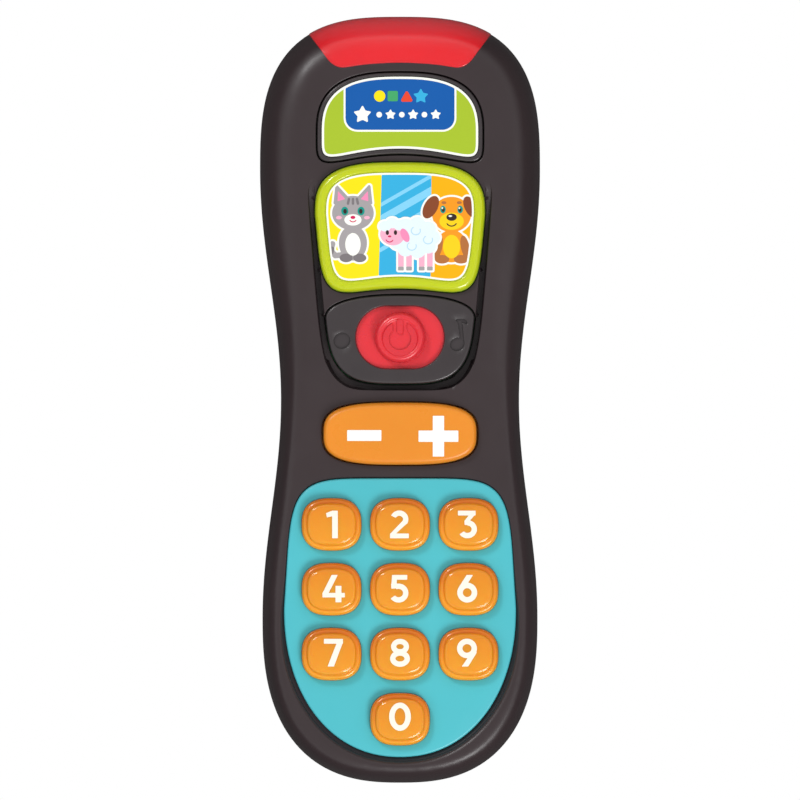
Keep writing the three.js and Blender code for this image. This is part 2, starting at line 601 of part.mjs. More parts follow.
// Leads run from the bay's end wall, and from the speaker's back, up to the underside of the board.
const batteryLead = (side) => lead([
  [side * 5.6, -8, 9],
  [side * 5.8, -5.5, 8.6],
  [side * 6.4, -1.5, 10.2],
  [side * 6.2, 0.5, 13.4],
  [side * 6, 1, 16.7],
]);
const speakerLead = (side) => lead([
  [side * 3, 34.5, 8.6],
  [side * 3.4, 31.5, 9.4],
  [side * 4.2, 28, 11.2],
  [side * 4.6, 26.4, 14],
  [side * 4.6, 26, 16.7],
]);
add("battery_lead_red", batteryLead(-1), LEAD_RED);
add("battery_lead_black", batteryLead(1), BLACK);
add("speaker_lead_red", speakerLead(-1), LEAD_RED);
add("speaker_lead_black", speakerLead(1), BLACK);

export default phone;
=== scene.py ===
"""The looks of a toddler's toy phone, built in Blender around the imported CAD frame.

The phone lies on its back: +Z is up, out of the key face, and +Y runs towards the red lens. Shapes are
worked out in millimetres, and turned into metres as each mesh is made.
"""

import json
import math

import bmesh
import bpy
import numpy as np
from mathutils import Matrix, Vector
from mathutils.geometry import delaunay_2d_cdt


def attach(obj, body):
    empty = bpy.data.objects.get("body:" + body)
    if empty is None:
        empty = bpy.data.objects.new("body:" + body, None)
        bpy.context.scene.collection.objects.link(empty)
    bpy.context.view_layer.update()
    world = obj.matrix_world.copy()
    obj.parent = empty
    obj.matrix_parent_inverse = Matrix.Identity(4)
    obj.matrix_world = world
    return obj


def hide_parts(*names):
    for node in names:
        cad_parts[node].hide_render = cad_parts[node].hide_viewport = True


MM = 0.001

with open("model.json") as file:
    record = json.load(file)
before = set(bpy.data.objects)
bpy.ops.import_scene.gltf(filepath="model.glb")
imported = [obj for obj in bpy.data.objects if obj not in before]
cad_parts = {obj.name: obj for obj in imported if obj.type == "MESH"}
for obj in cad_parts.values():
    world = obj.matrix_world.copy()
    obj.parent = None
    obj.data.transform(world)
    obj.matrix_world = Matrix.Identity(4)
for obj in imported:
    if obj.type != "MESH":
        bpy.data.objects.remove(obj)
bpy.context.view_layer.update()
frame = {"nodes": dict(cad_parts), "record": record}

# ---------------------------------------------------------------- dimensions, in millimetres

LENGTH = 170
UPPER_HALF_WIDTH = 31.1
LOWER_HALF_WIDTH = 30.55
WAIST_HALF_WIDTH = 26.45
UPPER_LOBE_Y = 51.1
LOWER_LOBE_Y = -48.4
UPPER_POWER = 2.88
LOWER_POWER = 2.55

FRONT_SEAM = 14.65
REAR_SEAM = 14.35
FACE_Z = 27
FACE_DIP = 1.8
DIP_Y = -6
DIP_REACH = 50
EDGE_POWER = 2.4
REAR_ROUND = 10
SKIN = 2.2
WALL = 2
REAR_WALL = 1.5
TONGUE = (2.3, 2.9)  # faces of the rear shell's tongue behind the seam, in from the silhouette
TONGUE_TOP = 16.3
GAP = 0.3
REAR_RIM = 0.7  # how far the rings of the rear rim reach in before the back's free mesh starts

KEYPAD = dict(half=25.7, mid=-46, up=28.65, down=33, power_up=6, power_down=2.15, taper_up=0.07)
ROCKER = dict(half=16.9, mid=-7.45, up=6.85, down=6.85, power_up=3.1, power_down=3.1)
SWITCH_PLATE = dict(half=16.45, mid=18, up=5.2, down=14.4, power_up=2.3, power_down=3.5, taper_down=0.1)
ISLAND = dict(half=19, mid=45, up=8, down=42, power_up=3, power_down=7, taper_down=0.18)
PICTURE = dict(half=18.85, mid=41, up=11.6, down=19.2, power_up=3, power_down=5.2, taper_down=0.095, arch=2.8)
SCENE = dict(half=16.4, mid=41, up=9.3, down=16.3, power_up=3.2, power_down=6, taper_down=0.09, arch=2.5)
BADGE = dict(half=18.3, mid=59, up=13.4, down=7.8, power_up=2.7, power_down=5.5, arch=3.2)
BADGE_LABEL = dict(half=17.4, mid=59, up=12.6, down=6.7, power_up=2.7, power_down=5.5, arch=3.2)

KEY_HALF = 6.6
KEY_TALL = 5.8
KEY_POWER = 2.65
KEY_COLUMN = 15.15
KEY_ROWS = [-27.5, -41.85, -56.2, -70.6]
KEY_TOP = 29.4
PLATE_TOP = 26.2
PLATE_BOTTOM = 21.6
PRINT_RISE = 0.03  # how far a print stands over the surface it is on

KNOB_Y = 13.85
KNOB_RADIUS = 5.67
WINDOW_HALF = 9.9
WINDOW_TALL = 7.05

SCREW_SPOTS = [(x * side, y) for x, y in [(23.5, 58), (20.2, 2), (23.9, -67.5)] for side in (1, -1)]
SPEAKER_Y = 42
DOOR_HALF = 11.8
DOOR_LOW = -66.2
DOOR_HIGH = -13.3
DOOR_SCREW_Y = -64

# ---------------------------------------------------------------- outlines


def even(points, count):
    """A closed line resampled to count points at even steps along it."""
    loop = np.vstack([points, points[:1]])
    walked = np.concatenate([[0], np.cumsum(np.hypot(*np.diff(loop, axis=0).T))])
    wanted = np.linspace(0, walked[-1], count, endpoint=False)
    return np.column_stack([np.interp(wanted, walked, loop[:, axis]) for axis in (0, 1)])


def quarter_angles(steps=700):
    """Angles once round from straight down, crowded where a square superellipse turns fast."""
    share = np.linspace(0, 1, steps, endpoint=False)
    share = share**3 / (share**3 + (1 - share) ** 3)
    return np.concatenate([(quarter + share) * np.pi / 2 for quarter in (-1, 0, 1, 2)])


def outline(half, mid, up, down, power_up, power_down, taper_up=0, taper_down=0, arch=0, count=160):
    """Superellipse halves above and below the line y = mid. Each may taper, and the lower edge may arch up."""
    angle = quarter_angles()
    above = np.sin(angle) > 0
    power = np.where(above, power_up, power_down)
    along = np.abs(np.sin(angle)) ** (2 / power)
    across = np.abs(np.cos(angle)) ** (2 / power)
    x = np.sign(np.cos(angle)) * half * across * (1 - np.where(above, taper_up, taper_down) * along)
    y = np.where(above, mid + up * along, mid - down * along + arch * (1 - across**2) * along)
    return even(np.column_stack([x, y]), count)


def key_outline(x, y, count=72):
    shape = dict(half=KEY_HALF, mid=y, up=KEY_TALL, down=KEY_TALL, power_up=KEY_POWER, power_down=KEY_POWER)
    return outline(**shape, count=count) + [x, 0]


def circle(x, y, radius, count=28):
    angle = np.arange(count) * 2 * np.pi / count
    return np.column_stack([x + radius * np.cos(angle), y + radius * np.sin(angle)])


def stadium(half, tall, y, count=120):
    """A box with round ends, about x = 0."""
    angle = np.linspace(-np.pi / 2, 1.5 * np.pi, 400, endpoint=False)
    x = tall * np.cos(angle) + np.sign(np.cos(angle)) * (half - tall)
    return even(np.column_stack([x, y + tall * np.sin(angle)]), count)


def rounded_box(x0, y0, x1, y1, radius, count=120):
    angle = np.linspace(-np.pi / 2, 1.5 * np.pi, 400, endpoint=False)
    across = np.where(np.cos(angle) > 0, x1 - radius, x0 + radius)
    along = np.where(np.sin(angle) > 0, y1 - radius, y0 + radius)
    return even(np.column_stack([across + radius * np.cos(angle), along + radius * np.sin(angle)]), count)


def body_outline(count):
    """The silhouette: two lobes of superellipse joined by a cosine waist."""
    end = np.linspace(0, 1, 400) ** 2 * np.pi / 2
    reach, width = np.cos(end), np.sin(end)
    upper_y = UPPER_LOBE_Y + (LENGTH / 2 - UPPER_LOBE_Y) * reach ** (2 / UPPER_POWER)
    lower_y = LOWER_LOBE_Y - (LENGTH / 2 + LOWER_LOBE_Y) * reach ** (2 / LOWER_POWER)
    side_y = np.linspace(LOWER_LOBE_Y, UPPER_LOBE_Y, 300)[1:-1]
    half = np.where(side_y > 0, UPPER_HALF_WIDTH, LOWER_HALF_WIDTH)
    share = side_y / np.where(side_y > 0, UPPER_LOBE_Y, LOWER_LOBE_Y)
    side_x = WAIST_HALF_WIDTH + (half - WAIST_HALF_WIDTH) * (1 - np.cos(np.pi * share)) / 2
    lower_x = LOWER_HALF_WIDTH * width ** (2 / LOWER_POWER)
    upper_x = UPPER_HALF_WIDTH * width ** (2 / UPPER_POWER)
    x = np.concatenate([lower_x, side_x, upper_x[::-1]])
    y = np.concatenate([lower_y, side_y, upper_y[::-1]])
    right = np.column_stack([x, y])
    return even(np.vstack([right, (right * [-1, 1])[::-1][1:-1]]), count)


def outward(points):
    """The unit normal at each point of an anticlockwise line."""
    along = np.roll(points, -1, axis=0) - np.roll(points, 1, axis=0)
    along /= np.hypot(*along.T)[:, None]
    return np.column_stack([along[:, 1], -along[:, 0]])


def offset(points, distance):
    """A closed line moved outwards by a distance, or by one for each point."""
    return points + outward(points) * np.reshape(distance, (-1, 1))


def relaxed(loop, times=6):
    """A closed line with its corners rounded off a little."""
    for _ in range(times):
        loop = (np.roll(loop, 1, axis=0) + 2 * loop + np.roll(loop, -1, axis=0)) / 4
    return loop


def inside(points, loop):
    """Whether each point is inside a closed line."""
    after = np.roll(loop, -1, axis=0)
    found = np.zeros(len(points), bool)
    for (x0, y0), (x1, y1) in zip(loop, after):
        if y0 != y1:
            crosses = (y0 > points[:, 1]) != (y1 > points[:, 1])
            at = x0 + (points[:, 1] - y0) * (x1 - x0) / (y1 - y0)
            found ^= crosses & (points[:, 0] < at)
    return found


def distance(points, line, closed=True):
    """The distance from each point to a line, negative inside a closed one."""
    starts = line if closed else line[:-1]
    spans = (np.roll(line, -1, axis=0) if closed else line[1:]) - starts
    lengths = np.maximum((spans**2).sum(1), 1e-12)
    nearest = np.full(len(points), np.inf)
    for low in range(0, len(points), 2000):
        offsets = points[low : low + 2000, None] - starts[None]
        share = np.clip((offsets * spans).sum(2) / lengths, 0, 1)
        gaps = offsets - share[..., None] * spans
        nearest[low : low + 2000] = np.sqrt((gaps**2).sum(2).min(1))
    return np.where(inside(points, line), -nearest, nearest) if closed else nearest


def level(z):
    """A height function that is the same everywhere."""
    return lambda plan: np.full(len(plan), float(z))


def lifted(height, by):
    """A height function moved up."""
    return lambda plan: height(plan) + by


def smooth(share):
    """A step from 0 to 1 with soft ends."""
    share = np.clip(share, 0, 1)
    return share * share * (3 - 2 * share)


# ---------------------------------------------------------------- meshes


class Skin:
    """A mesh made from rings of points, bands between them and triangulated fields."""

    def __init__(self):
        self.points = []
        self.faces = []
        self.paints = []
        self.paint = 0

    def add(self, points):
        first = len(self.points)
        self.points.extend(map(tuple, points))
        return np.arange(first, len(self.points))

    def ring(self, plan, z):
        heights = np.broadcast_to(np.asarray(z, float), len(plan))
        return self.add(np.column_stack([plan, heights]))

    def face(self, *corners):
        self.faces.append(tuple(int(corner) for corner in corners))
        self.paints.append(self.paint)

    def band(self, first, second, closed=True):
        count = len(first)
        for i in range(count if closed else count - 1):
            j = (i + 1) % count
            self.face(first[i], first[j], second[j], second[i])

    def bands(self, rings):
        for first, second in zip(rings, rings[1:]):
            self.band(first, second)

    def loft(self, plans_and_heights):
        rings = [self.ring(plan, z) for plan, z in plans_and_heights]
        self.bands(rings)
        return rings

    def plan(self, ring):
        return np.array([self.points[i][:2] for i in ring])

    def single(self, ring):
        """A ring's plan, rounded to the single precision that the triangulation works in."""
        return self.plan(ring).astype(np.float32).astype(float)

    def fill(self, outer, holes=(), height=None, pitch=None, lines=()):
        """Triangles wherever an odd number of rings is round, with free points on a staggered grid."""
        rings = [outer, *holes]
        loops = [self.single(ring) for ring in rings]
        known = np.concatenate(rings)
        grid = np.zeros((0, 2))
        if pitch:
            (x0, y0), (x1, y1) = loops[0].min(0), loops[0].max(0)
            rows = np.arange(y0, y1, pitch * 0.866)
            columns = np.arange(x0, x1, pitch)
            grid = np.array([[x + pitch / 2 * (row % 2), y] for row, y in enumerate(rows) for x in columns])
            grid = grid[distance(grid, loops[0]) < -0.5 * pitch]
            for loop in loops[1:]:
                grid = grid[distance(grid, loop) > 0.5 * pitch]
            for line in lines:
                grid = grid[distance(grid, line, closed=False) > 0.3 * pitch]
        flat = np.vstack([*loops, *lines, grid])
        edges = []
        first = 0
        for part, closed in [(loop, True) for loop in loops] + [(line, False) for line in lines]:
            count = len(part)
            edges += [(first + i, first + (i + 1) % count) for i in range(count if closed else count - 1)]
            first += count
        made = delaunay_2d_cdt([Vector(point) for point in flat], edges, [], 0, 1e-6)
        spots = np.array([tuple(point) for point in made[0]])
        triangles = np.array([tuple(face) for face in made[2]])
        centres = spots[triangles].mean(1)
        wanted = within(centres, loops)
        owner = np.full(len(spots), -1)
        for i, origins in enumerate(made[3]):
            shared = [origin for origin in origins if origin < len(known)]
            if shared:
                owner[i] = known[shared[0]]
        used = np.zeros(len(spots), bool)
        used[triangles[wanted].ravel()] = True
        fresh = np.flatnonzero((owner < 0) & used)
        if len(fresh):
            z = height(spots[fresh]) if height else self.points[outer[0]][2]
            owner[fresh] = self.ring(spots[fresh], z)
        for triangle in triangles[wanted]:
            self.face(*owner[triangle])

    def cap(self, ring):
        self.fill(ring)

    def pocket(self, plan, levels):
        """A blind recess from pairs (outwards, z), mouth first. Returns its mouth."""
        rings = self.loft([(offset(plan, out), z) for out, z in levels])
        self.cap(rings[-1])
        return rings[0]

    def hollow(self, ring, plan, bottom, top):
        """A blind hollow from the inside of a piece's lowest ring."""
        walls = self.loft([(plan, bottom), (plan, top)])
        self.band(ring, walls[0])
        self.cap(walls[1])

    def step_in(self, ring, edge, height, steps):
        """Rings in from an edge by pairs (inwards, drop) under a height function. Returns the last one."""
        for inwards, drop in steps:
            plan = offset(edge, -inwards)
            after = self.ring(plan, height(plan) - drop)
            self.band(ring, after)
            ring = after
        return ring

    def crown(self, ring, shrink, height):
        """Closes a ring by smaller and smaller copies of it about its middle."""
        base = self.plan(ring)
        middle = base.mean(0)
        for scale in shrink:
            plan = middle + (base - middle) * scale
            inner = self.ring(plan, height(plan))
            self.band(ring, inner)
            ring = inner
        (top,) = self.ring(middle[None], height(middle[None]))
        for i in range(len(ring)):
            self.face(ring[i], ring[(i + 1) % len(ring)], top)

    def build(self, name, materials, body, replaces=(), sharp=38):
        mesh = bpy.data.meshes.new(name)
        mesh.from_pydata([(x * MM, y * MM, z * MM) for x, y, z in self.points], [], self.faces)
        for material in materials:
            mesh.materials.append(material)
        mesh.polygons.foreach_set("material_index", self.paints)
        work = bmesh.new()
        work.from_mesh(mesh)
        bmesh.ops.recalc_face_normals(work, faces=work.faces)
        work.to_mesh(mesh)
        work.free()
        mesh.polygons.foreach_set("use_smooth", [True] * len(mesh.polygons))
        mesh.set_sharp_from_angle(angle=math.radians(sharp))
        piece = bpy.data.objects.new(name, mesh)
        bpy.context.scene.collection.objects.link(piece)
        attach(piece, body)
        if replaces:
            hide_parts(*replaces)


def fillet(radius, steps=4):
    """Pairs (inwards, drop) round the edge of a face, from the face to its wall."""
    angles = [math.pi / 2 * k / steps for k in range(steps + 1)]
    return [(radius * (1 - math.sin(angle)), radius * (1 - math.cos(angle))) for angle in angles]


def rounded_side(edge, top, radius, steps=4):
    """Pairs (plan, z) up a wall and over its rounded edge to a face at the height top."""
    return [(offset(edge, -inwards), top - drop) for inwards, drop in fillet(radius, steps)[::-1]]


# ---------------------------------------------------------------- printed shapes


def capsule(x0, y0, x1, y1, radius):
    def field(points):
        return distance(points, np.array([[x0, y0], [x1, y1]], float), closed=False) - radius

    return field


def bar(x0, y0, x1, y1, thick):
    """A straight stroke with square ends."""
    middle = np.array([(x0 + x1) / 2, (y0 + y1) / 2])
    length = math.hypot(x1 - x0, y1 - y0)
    along = np.array([x1 - x0, y1 - y0]) / length

    def field(points):
        away = points - middle
        u = np.abs(away @ along) - length / 2
        v = np.abs(away @ np.array([-along[1], along[0]])) - thick / 2
        return np.where((u > 0) & (v > 0), np.hypot(u, v), np.maximum(u, v))

    return field


def ellipse(x, y, rx, ry, turn=0):
    cos, sin = math.cos(math.radians(turn)), math.sin(math.radians(turn))

    def field(points):
        dx, dy = points[:, 0] - x, points[:, 1] - y
        u, v = (dx * cos + dy * sin) / rx, (dy * cos - dx * sin) / ry
        radius = np.hypot(u, v)
        slope = np.maximum(np.hypot(u / rx, v / ry), 1e-6)
        return np.where(radius < 0.05, -min(rx, ry), radius * (radius - 1) / slope)

    return field


def polygon(*corners):
    return lambda points: distance(points, np.array(corners, float))


def joined(*fields):
    return lambda points: np.min([field(points) for field in fields], axis=0)


def without(field, *others):
    return lambda points: np.max([field(points)] + [-other(points) for other in others], axis=0)


def both(first, second):
    return lambda points: np.maximum(first(points), second(points))


def grown(field, by):
    return lambda points: field(points) - by


def moved(field, x, y):
    return lambda points: field(points - [x, y])


def loop_field(plan):
    return lambda points: distance(points, plan)


def sampled(field, box, step=0.1):
    """A slow field read from a table of its own values, so that it can be used many times."""
    x0, y0, x1, y1 = box
    xs, ys = np.arange(x0 - 1, x1 + 1, step), np.arange(y0 - 1, y1 + 1, step)
    grid_x, grid_y = np.meshgrid(xs, ys)
    values = field(np.column_stack([grid_x.ravel(), grid_y.ravel()])).reshape(grid_x.shape)

    def lookup(points):
        u = np.clip((points[:, 0] - xs[0]) / step, 0, len(xs) - 1.001)
        v = np.clip((points[:, 1] - ys[0]) / step, 0, len(ys) - 1.001)
        c, r = u.astype(int), v.astype(int)
        fu, fv = u - c, v - r
        low = values[r, c] * (1 - fu) + values[r, c + 1] * fu
        return low * (1 - fv) + (values[r + 1, c] * (1 - fu) + values[r + 1, c + 1] * fu) * fv

    return lookup


def ring_field(x, y, rx, ry, thick):
    return without(ellipse(x, y, rx, ry), ellipse(x, y, rx - thick, ry - thick))


def arc_field(x, y, rx, ry, thick, start, end):
    """A stroke along part of an ellipse, anticlockwise from start to end in degrees, with square ends."""
    whole = ring_field(x, y, rx, ry, thick)

    def field(points):
        angle = np.degrees(np.arctan2((points[:, 1] - y) / ry, (points[:, 0] - x) / rx))
        past = (angle - start) % 360
        span = (end - start) % 360
        reach = np.hypot(points[:, 0] - x, points[:, 1] - y)
        beyond = np.minimum(past - span, 360 - past)
        return np.maximum(whole(points), np.where(past > span, np.radians(beyond) * reach, -1))

    return field


def contours(field, box, step):
    """The closed lines on which a field is zero, by marching squares."""
    x0, y0, x1, y1 = box
    xs, ys = np.arange(x0 - step, x1 + 2 * step, step), np.arange(y0 - step, y1 + 2 * step, step)
    grid_x, grid_y = np.meshgrid(xs, ys)
    values = field(np.column_stack([grid_x.ravel(), grid_y.ravel()])).reshape(grid_x.shape)
    values = np.where(np.abs(values) < 1e-9, 1e-9, values)
    spots, links = {}, {}

    def spot(a, b):
        if (a, b) not in spots:
            share = values[a] / (values[a] - values[b])
            first, second = np.array([xs[a[1]], ys[a[0]]]), np.array([xs[b[1]], ys[b[0]]])
            spots[a, b] = first + (second - first) * share
        return a, b

    low = values < 0
    mixed = low[:-1, :-1].astype(int) + low[1:, :-1] + low[:-1, 1:] + low[1:, 1:]
    for r, c in zip(*np.nonzero((mixed > 0) & (mixed < 4))):
        corners = [(r, c), (r, c + 1), (r + 1, c + 1), (r + 1, c)]
        crossed = []
        for k in range(4):
            a, b = corners[k], corners[(k + 1) % 4]
            if low[a] != low[b]:
                crossed.append((low[a], spot(*sorted([a, b]))))
        for k, (leaving, key) in enumerate(crossed):
            if leaving:
                links[key] = crossed[(k + 1) % len(crossed)][1]
    loops = []
    while links:
        first, key = next(iter(links.items()))
        loop = [spots[first]]
        del links[first]
        while key != first:
            loop.append(spots[key])
            key = links.pop(key)
        if len(loop) > 7:
            loops.append(np.array(loop))
    return loops


def imprint(skin, field, box, bottom, top, step=0.09, paint=None):
    """A thin closed layer in the shape of a field, between two heights or functions of the plan."""
    if paint is not None:
        skin.paint = PALETTE.index(paint)
    low = bottom if callable(bottom) else level(bottom)
    high = top if callable(top) else level(top)
    loops = []
    for loop in contours(field, box, step):
        length = np.hypot(*(np.roll(loop, -1, axis=0) - loop).T).sum()
        loops.append(even(loop, max(8, int(length / (1.7 * step)))))
    upper = [skin.ring(loop, high(loop)) for loop in loops]
    lower = [skin.ring(loop, low(loop)) for loop in loops]
    for first, second in zip(lower, upper):
        skin.band(first, second)
    skin.fill(upper[0], upper[1:], high)
    skin.fill(lower[0], lower[1:], low)


def within(points, loops):
    """Whether each point is inside an odd number of loops."""
    found = np.zeros(len(points), bool)
    for loop in loops:
        found ^= inside(points, loop)
    return found


# ---------------------------------------------------------------- materials


def linear(colour):
    """A six-digit sRGB colour as linear RGBA."""
    parts = [int(colour[i : i + 2], 16) / 255 for i in (0, 2, 4)]
    return [part / 12.92 if part <= 0.04045 else ((part + 0.055) / 1.055) ** 2.4 for part in parts] + [1]


def scaled(colour, factor):
    """A colour made darker or lighter."""
    return [min(1, part * factor) for part in colour[:3]] + [1]


GLOW_DEPTH = 0.002  # metres that light travels under a translucent surface
DRIFT_SPAN = (0.3, 0.7)  # the noise values between which colour and gloss drift


def moulded(
    name,
    colour,
    painted_shading_colour=None,
    far_axis="Y",
    far_span=(0, 1),
    roughness=0.35,
    grain=0.25,
    depth=0.015,
    vary=0.05,
    shine=0.5,
    coat=0,
    glow=0,
    glow_radius=(1, 0.4, 0.15),
    metallic=0,
):
    """A moulded or printed surface whose colour and gloss drift slowly, under a fine grain.

    grain is the grain's size and depth its height, in millimetres. With a second colour, the colour turns into
    it along far_axis of the piece's own box, between the two shares of the box's length in far_span; this
    second colour paints light and shade onto the piece, one end lighter and the other darker.
    """
    material = bpy.data.materials.new(name)
    material.use_nodes = True
    nodes, links = material.node_tree.nodes, material.node_tree.links
    shader = nodes["Principled BSDF"]
    base = linear(colour)
    place = nodes.new("ShaderNodeTexCoord")

    def noise(scale, detail):
        node = nodes.new("ShaderNodeTexNoise")
        node.inputs["Scale"].default_value = scale
        node.inputs["Detail"].default_value = detail
        links.new(place.outputs["Object"], node.inputs["Vector"])
        return node

    drift = noise(45, 3)
    ramp = nodes.new("ShaderNodeValToRGB")
    for stop, position, factor in zip(ramp.color_ramp.elements, DRIFT_SPAN, (1 - vary, 1 + vary)):
        stop.position = position
        stop.color = scaled(base, factor)
    links.new(drift.outputs["Fac"], ramp.inputs["Fac"])
    links.new(ramp.outputs["Color"], shader.inputs["Base Color"])
    # the second colour is a painted gradient of light and shade across the piece
    if painted_shading_colour:
        split = nodes.new("ShaderNodeSeparateXYZ")
        reach = nodes.new("ShaderNodeMapRange")
        blend = nodes.new("ShaderNodeMixRGB")
        reach.interpolation_type = "SMOOTHSTEP"
        reach.inputs["From Min"].default_value, reach.inputs["From Max"].default_value = far_span
        blend.inputs["Color2"].default_value = linear(painted_shading_colour)
        links.new(place.outputs["Generated"], split.inputs["Vector"])
        links.new(split.outputs[far_axis], reach.inputs["Value"])
        links.new(reach.outputs["Result"], blend.inputs["Fac"])
        links.new(ramp.outputs["Color"], blend.inputs["Color1"])
        links.new(blend.outputs["Color"], shader.inputs["Base Color"])

    rub = noise(160, 4)
    gloss = nodes.new("ShaderNodeMapRange")
    gloss.inputs["From Min"].default_value, gloss.inputs["From Max"].default_value = DRIFT_SPAN
    gloss.inputs["To Min"].default_value = roughness * 0.88
    gloss.inputs["To Max"].default_value = roughness * 1.12
    links.new(rub.outputs["Fac"], gloss.inputs["Value"])
    links.new(gloss.outputs["Result"], shader.inputs["Roughness"])

    if depth:
        fine = noise(1 / (grain * MM), 2)
        bump = nodes.new("ShaderNodeBump")
        bump.inputs["Strength"].default_value = 0.5
        bump.inputs["Distance"].default_value = depth * MM
        links.new(fine.outputs["Fac"], bump.inputs["Height"])
        links.new(bump.outputs["Normal"], shader.inputs["Normal"])

    shader.inputs["Specular IOR Level"].default_value = shine
    shader.inputs["Metallic"].default_value = metallic
    shader.inputs["Coat Weight"].default_value = coat
    shader.inputs["Coat Roughness"].default_value = 0.06
    if glow:
        shader.inputs["Subsurface Weight"].default_value = glow
        shader.inputs["Subsurface Radius"].default_value = glow_radius
        shader.inputs["Subsurface Scale"].default_value = GLOW_DEPTH
    return material


SHELL = moulded("charcoal_abs", "372d2f", roughness=0.34, vary=0.04, depth=0.02, shine=0.42)
PLATE = moulded("charcoal_plate", "352e30", roughness=0.4, vary=0.04, depth=0.02, shine=0.45, coat=0.35)
CLEAR = dict(vary=0.03, depth=0.003)  # polished, translucent plastic
# The lens is painted lighter towards its top end, over the rim: a painted glow, as of light passing through its
# edge.
LENS = moulded(
    "red_lens_painted_glow", "ea252e", "ff4a52", far_span=(0.3, 1), roughness=0.16, glow=0.5,
    glow_radius=(1, 0.2, 0.15), **CLEAR,
)
SLIDER = moulded("red_slider", "e6343f", roughness=0.28, vary=0.03, depth=0.006, glow=0.25)
# The frame is painted darker green low on its outer slope and lighter lime along its top: painted shade and
# painted light, by height.
BUTTON = moulded(
    "lime_painted_shade", "8fb428", "c6d31a", "Z", (0.8, 0.96), roughness=0.14, glow=0.6,
    glow_radius=(1, 0.9, 0.2), **CLEAR,
)
# The crown is painted darker and redder towards the key's top edge and lighter towards its bottom edge: painted
# shade and painted light.
KEY = moulded(
    "orange_key_painted_shade", "f1a32b", "ea9220", roughness=0.12, glow=0.6, glow_radius=(1, 0.45, 0.1), **CLEAR
)
# A lit and shaded copy of the key's orange for its wall and shoulder: brighter at the bottom for painted light,
# darker and redder at the top for painted shade.
KEY_SIDE_PAINTED_SHADE = moulded(
    "orange_side_painted_shade", "fba92c", "da7416", roughness=0.16, glow=0.5, glow_radius=(1, 0.4, 0.1), **CLEAR
)
ROCKER_ORANGE = moulded(
    "orange_rocker", "ec9129", roughness=0.3, vary=0.03, depth=0.008, glow=0.15, shine=0.4
)
TURQUOISE = moulded("turquoise_plate", "4cbcc7", roughness=0.35, vary=0.03, depth=0.012)
DIGIT_INK = moulded("digit_ink", "fdf4e6", roughness=0.4, vary=0.01, depth=0.004)
SIGN_INK = moulded("sign_ink", "fafbf9", roughness=0.4, vary=0.01, depth=0.004)
STEEL = moulded("screw_steel", "b9babb", roughness=0.32, vary=0.08, depth=0.006, metallic=1)

INK_COLOURS = {
    "white": "fbfcf4",
    "green": "aac431",
    "blue": "145cab",
    "yellow": "fde516",
    "sky": "38b1e0",
    "pale_sky": "86d3f4",
    "orange": "feb40e",
    "red": "e8492f",
    "leaf": "46a86a",
    "grey": "a7a2a4",
    "dark_grey": "7f797c",
    "pink": "f490ba",
    "pale_pink": "f7b3cb",
    "wool": "e6f4fb",
    "wool_line": "b4dcf0",
    "black": "3a2a2a",
    "teal": "13988a",
    "brown": "8a4a2c",
    "tan": "b5723f",
    "dog": "f79c24",
    "dog_light": "fcd31d",
    "cherry": "d4205c",
}
INK_LOOK = dict(roughness=0.35, vary=0.015, depth=0.003, grain=0.12, shine=0.2)
INKS = {name: moulded("ink_" + name, colour, **INK_LOOK) for name, colour in INK_COLOURS.items()}
PALETTE = list(INKS)

# ---------------------------------------------------------------- casing

BODY = body_outline(360)
BODY_OUT = outward(BODY)
ISLAND_LINE = outline(**ISLAND, count=300)


def face_dip(y):
    share = np.clip(np.abs(y - DIP_Y) / DIP_REACH, 0, 1)
    return FACE_DIP * (1 + np.cos(np.pi * share)) / 2


def front_round(y):
    """How far the front edge's rounding reaches in: wide round the picture, tighter beside the keys."""
    return 4.2 + 4.8 * smooth((y + 10) / 45)


def rim_width(y):
    """How far the rings of the front rim reach in before the face's free mesh starts."""
    return 1.9 + 1.9 * smooth((y + 25) / 25)


def rounded_height(inset, reach):
    """Share of the full height at a distance in from the silhouette."""
    return (1 - np.clip(1 - inset / reach, 0, 1) ** EDGE_POWER) ** (1 / EDGE_POWER)


def lens_edge():
    """The lens's region: an arched lower edge with round corners and flared sides, open past the top end."""
    step = np.linspace(-3, 3, 25)
    arch = np.column_stack([4 * step, 74.5 - 0.115 * step**2])
    t = np.linspace(0, 1, 12)[1:, None]
    corner = (1 - t) ** 2 * [12, 73.46] + 2 * t * (1 - t) * [14.6, 73.1] + t**2 * [16.4, 75.9]
    right = np.vstack([corner, [20.4, 81.2], [26, 90]])
    return np.vstack([arch, right, (right * [-1, 1])[::-1]])


LENS_LINE = lens_edge()


def lens_recess(plan):
    """How deep the casing is set back under the lens."""
    return 1.7 * smooth((-distance(plan, LENS_LINE) - 0.5) / 1.0)


TROUGH_SLOPE = math.tan(math.radians(4.8))
TROUGH_DEEPER = 1.5
TROUGH_WIDTH = 1.15
TROUGH_LIP = 0.35
TROUGH_OFFSETS = (0, 0.06, 0.6, 1.15, 1.17, 1.22, 1.3, 1.4, 1.5)
TROUGH_END = 50.2  # the y at which the lines that the mesh follows along the trough stop
ISLAND_EDGE = 0.3


def trough_share(y):
    """The trough's width at y as a share of its full width: it is narrower at its lower end."""
    return 0.6 + 0.4 * smooth((y - 3) / 6)


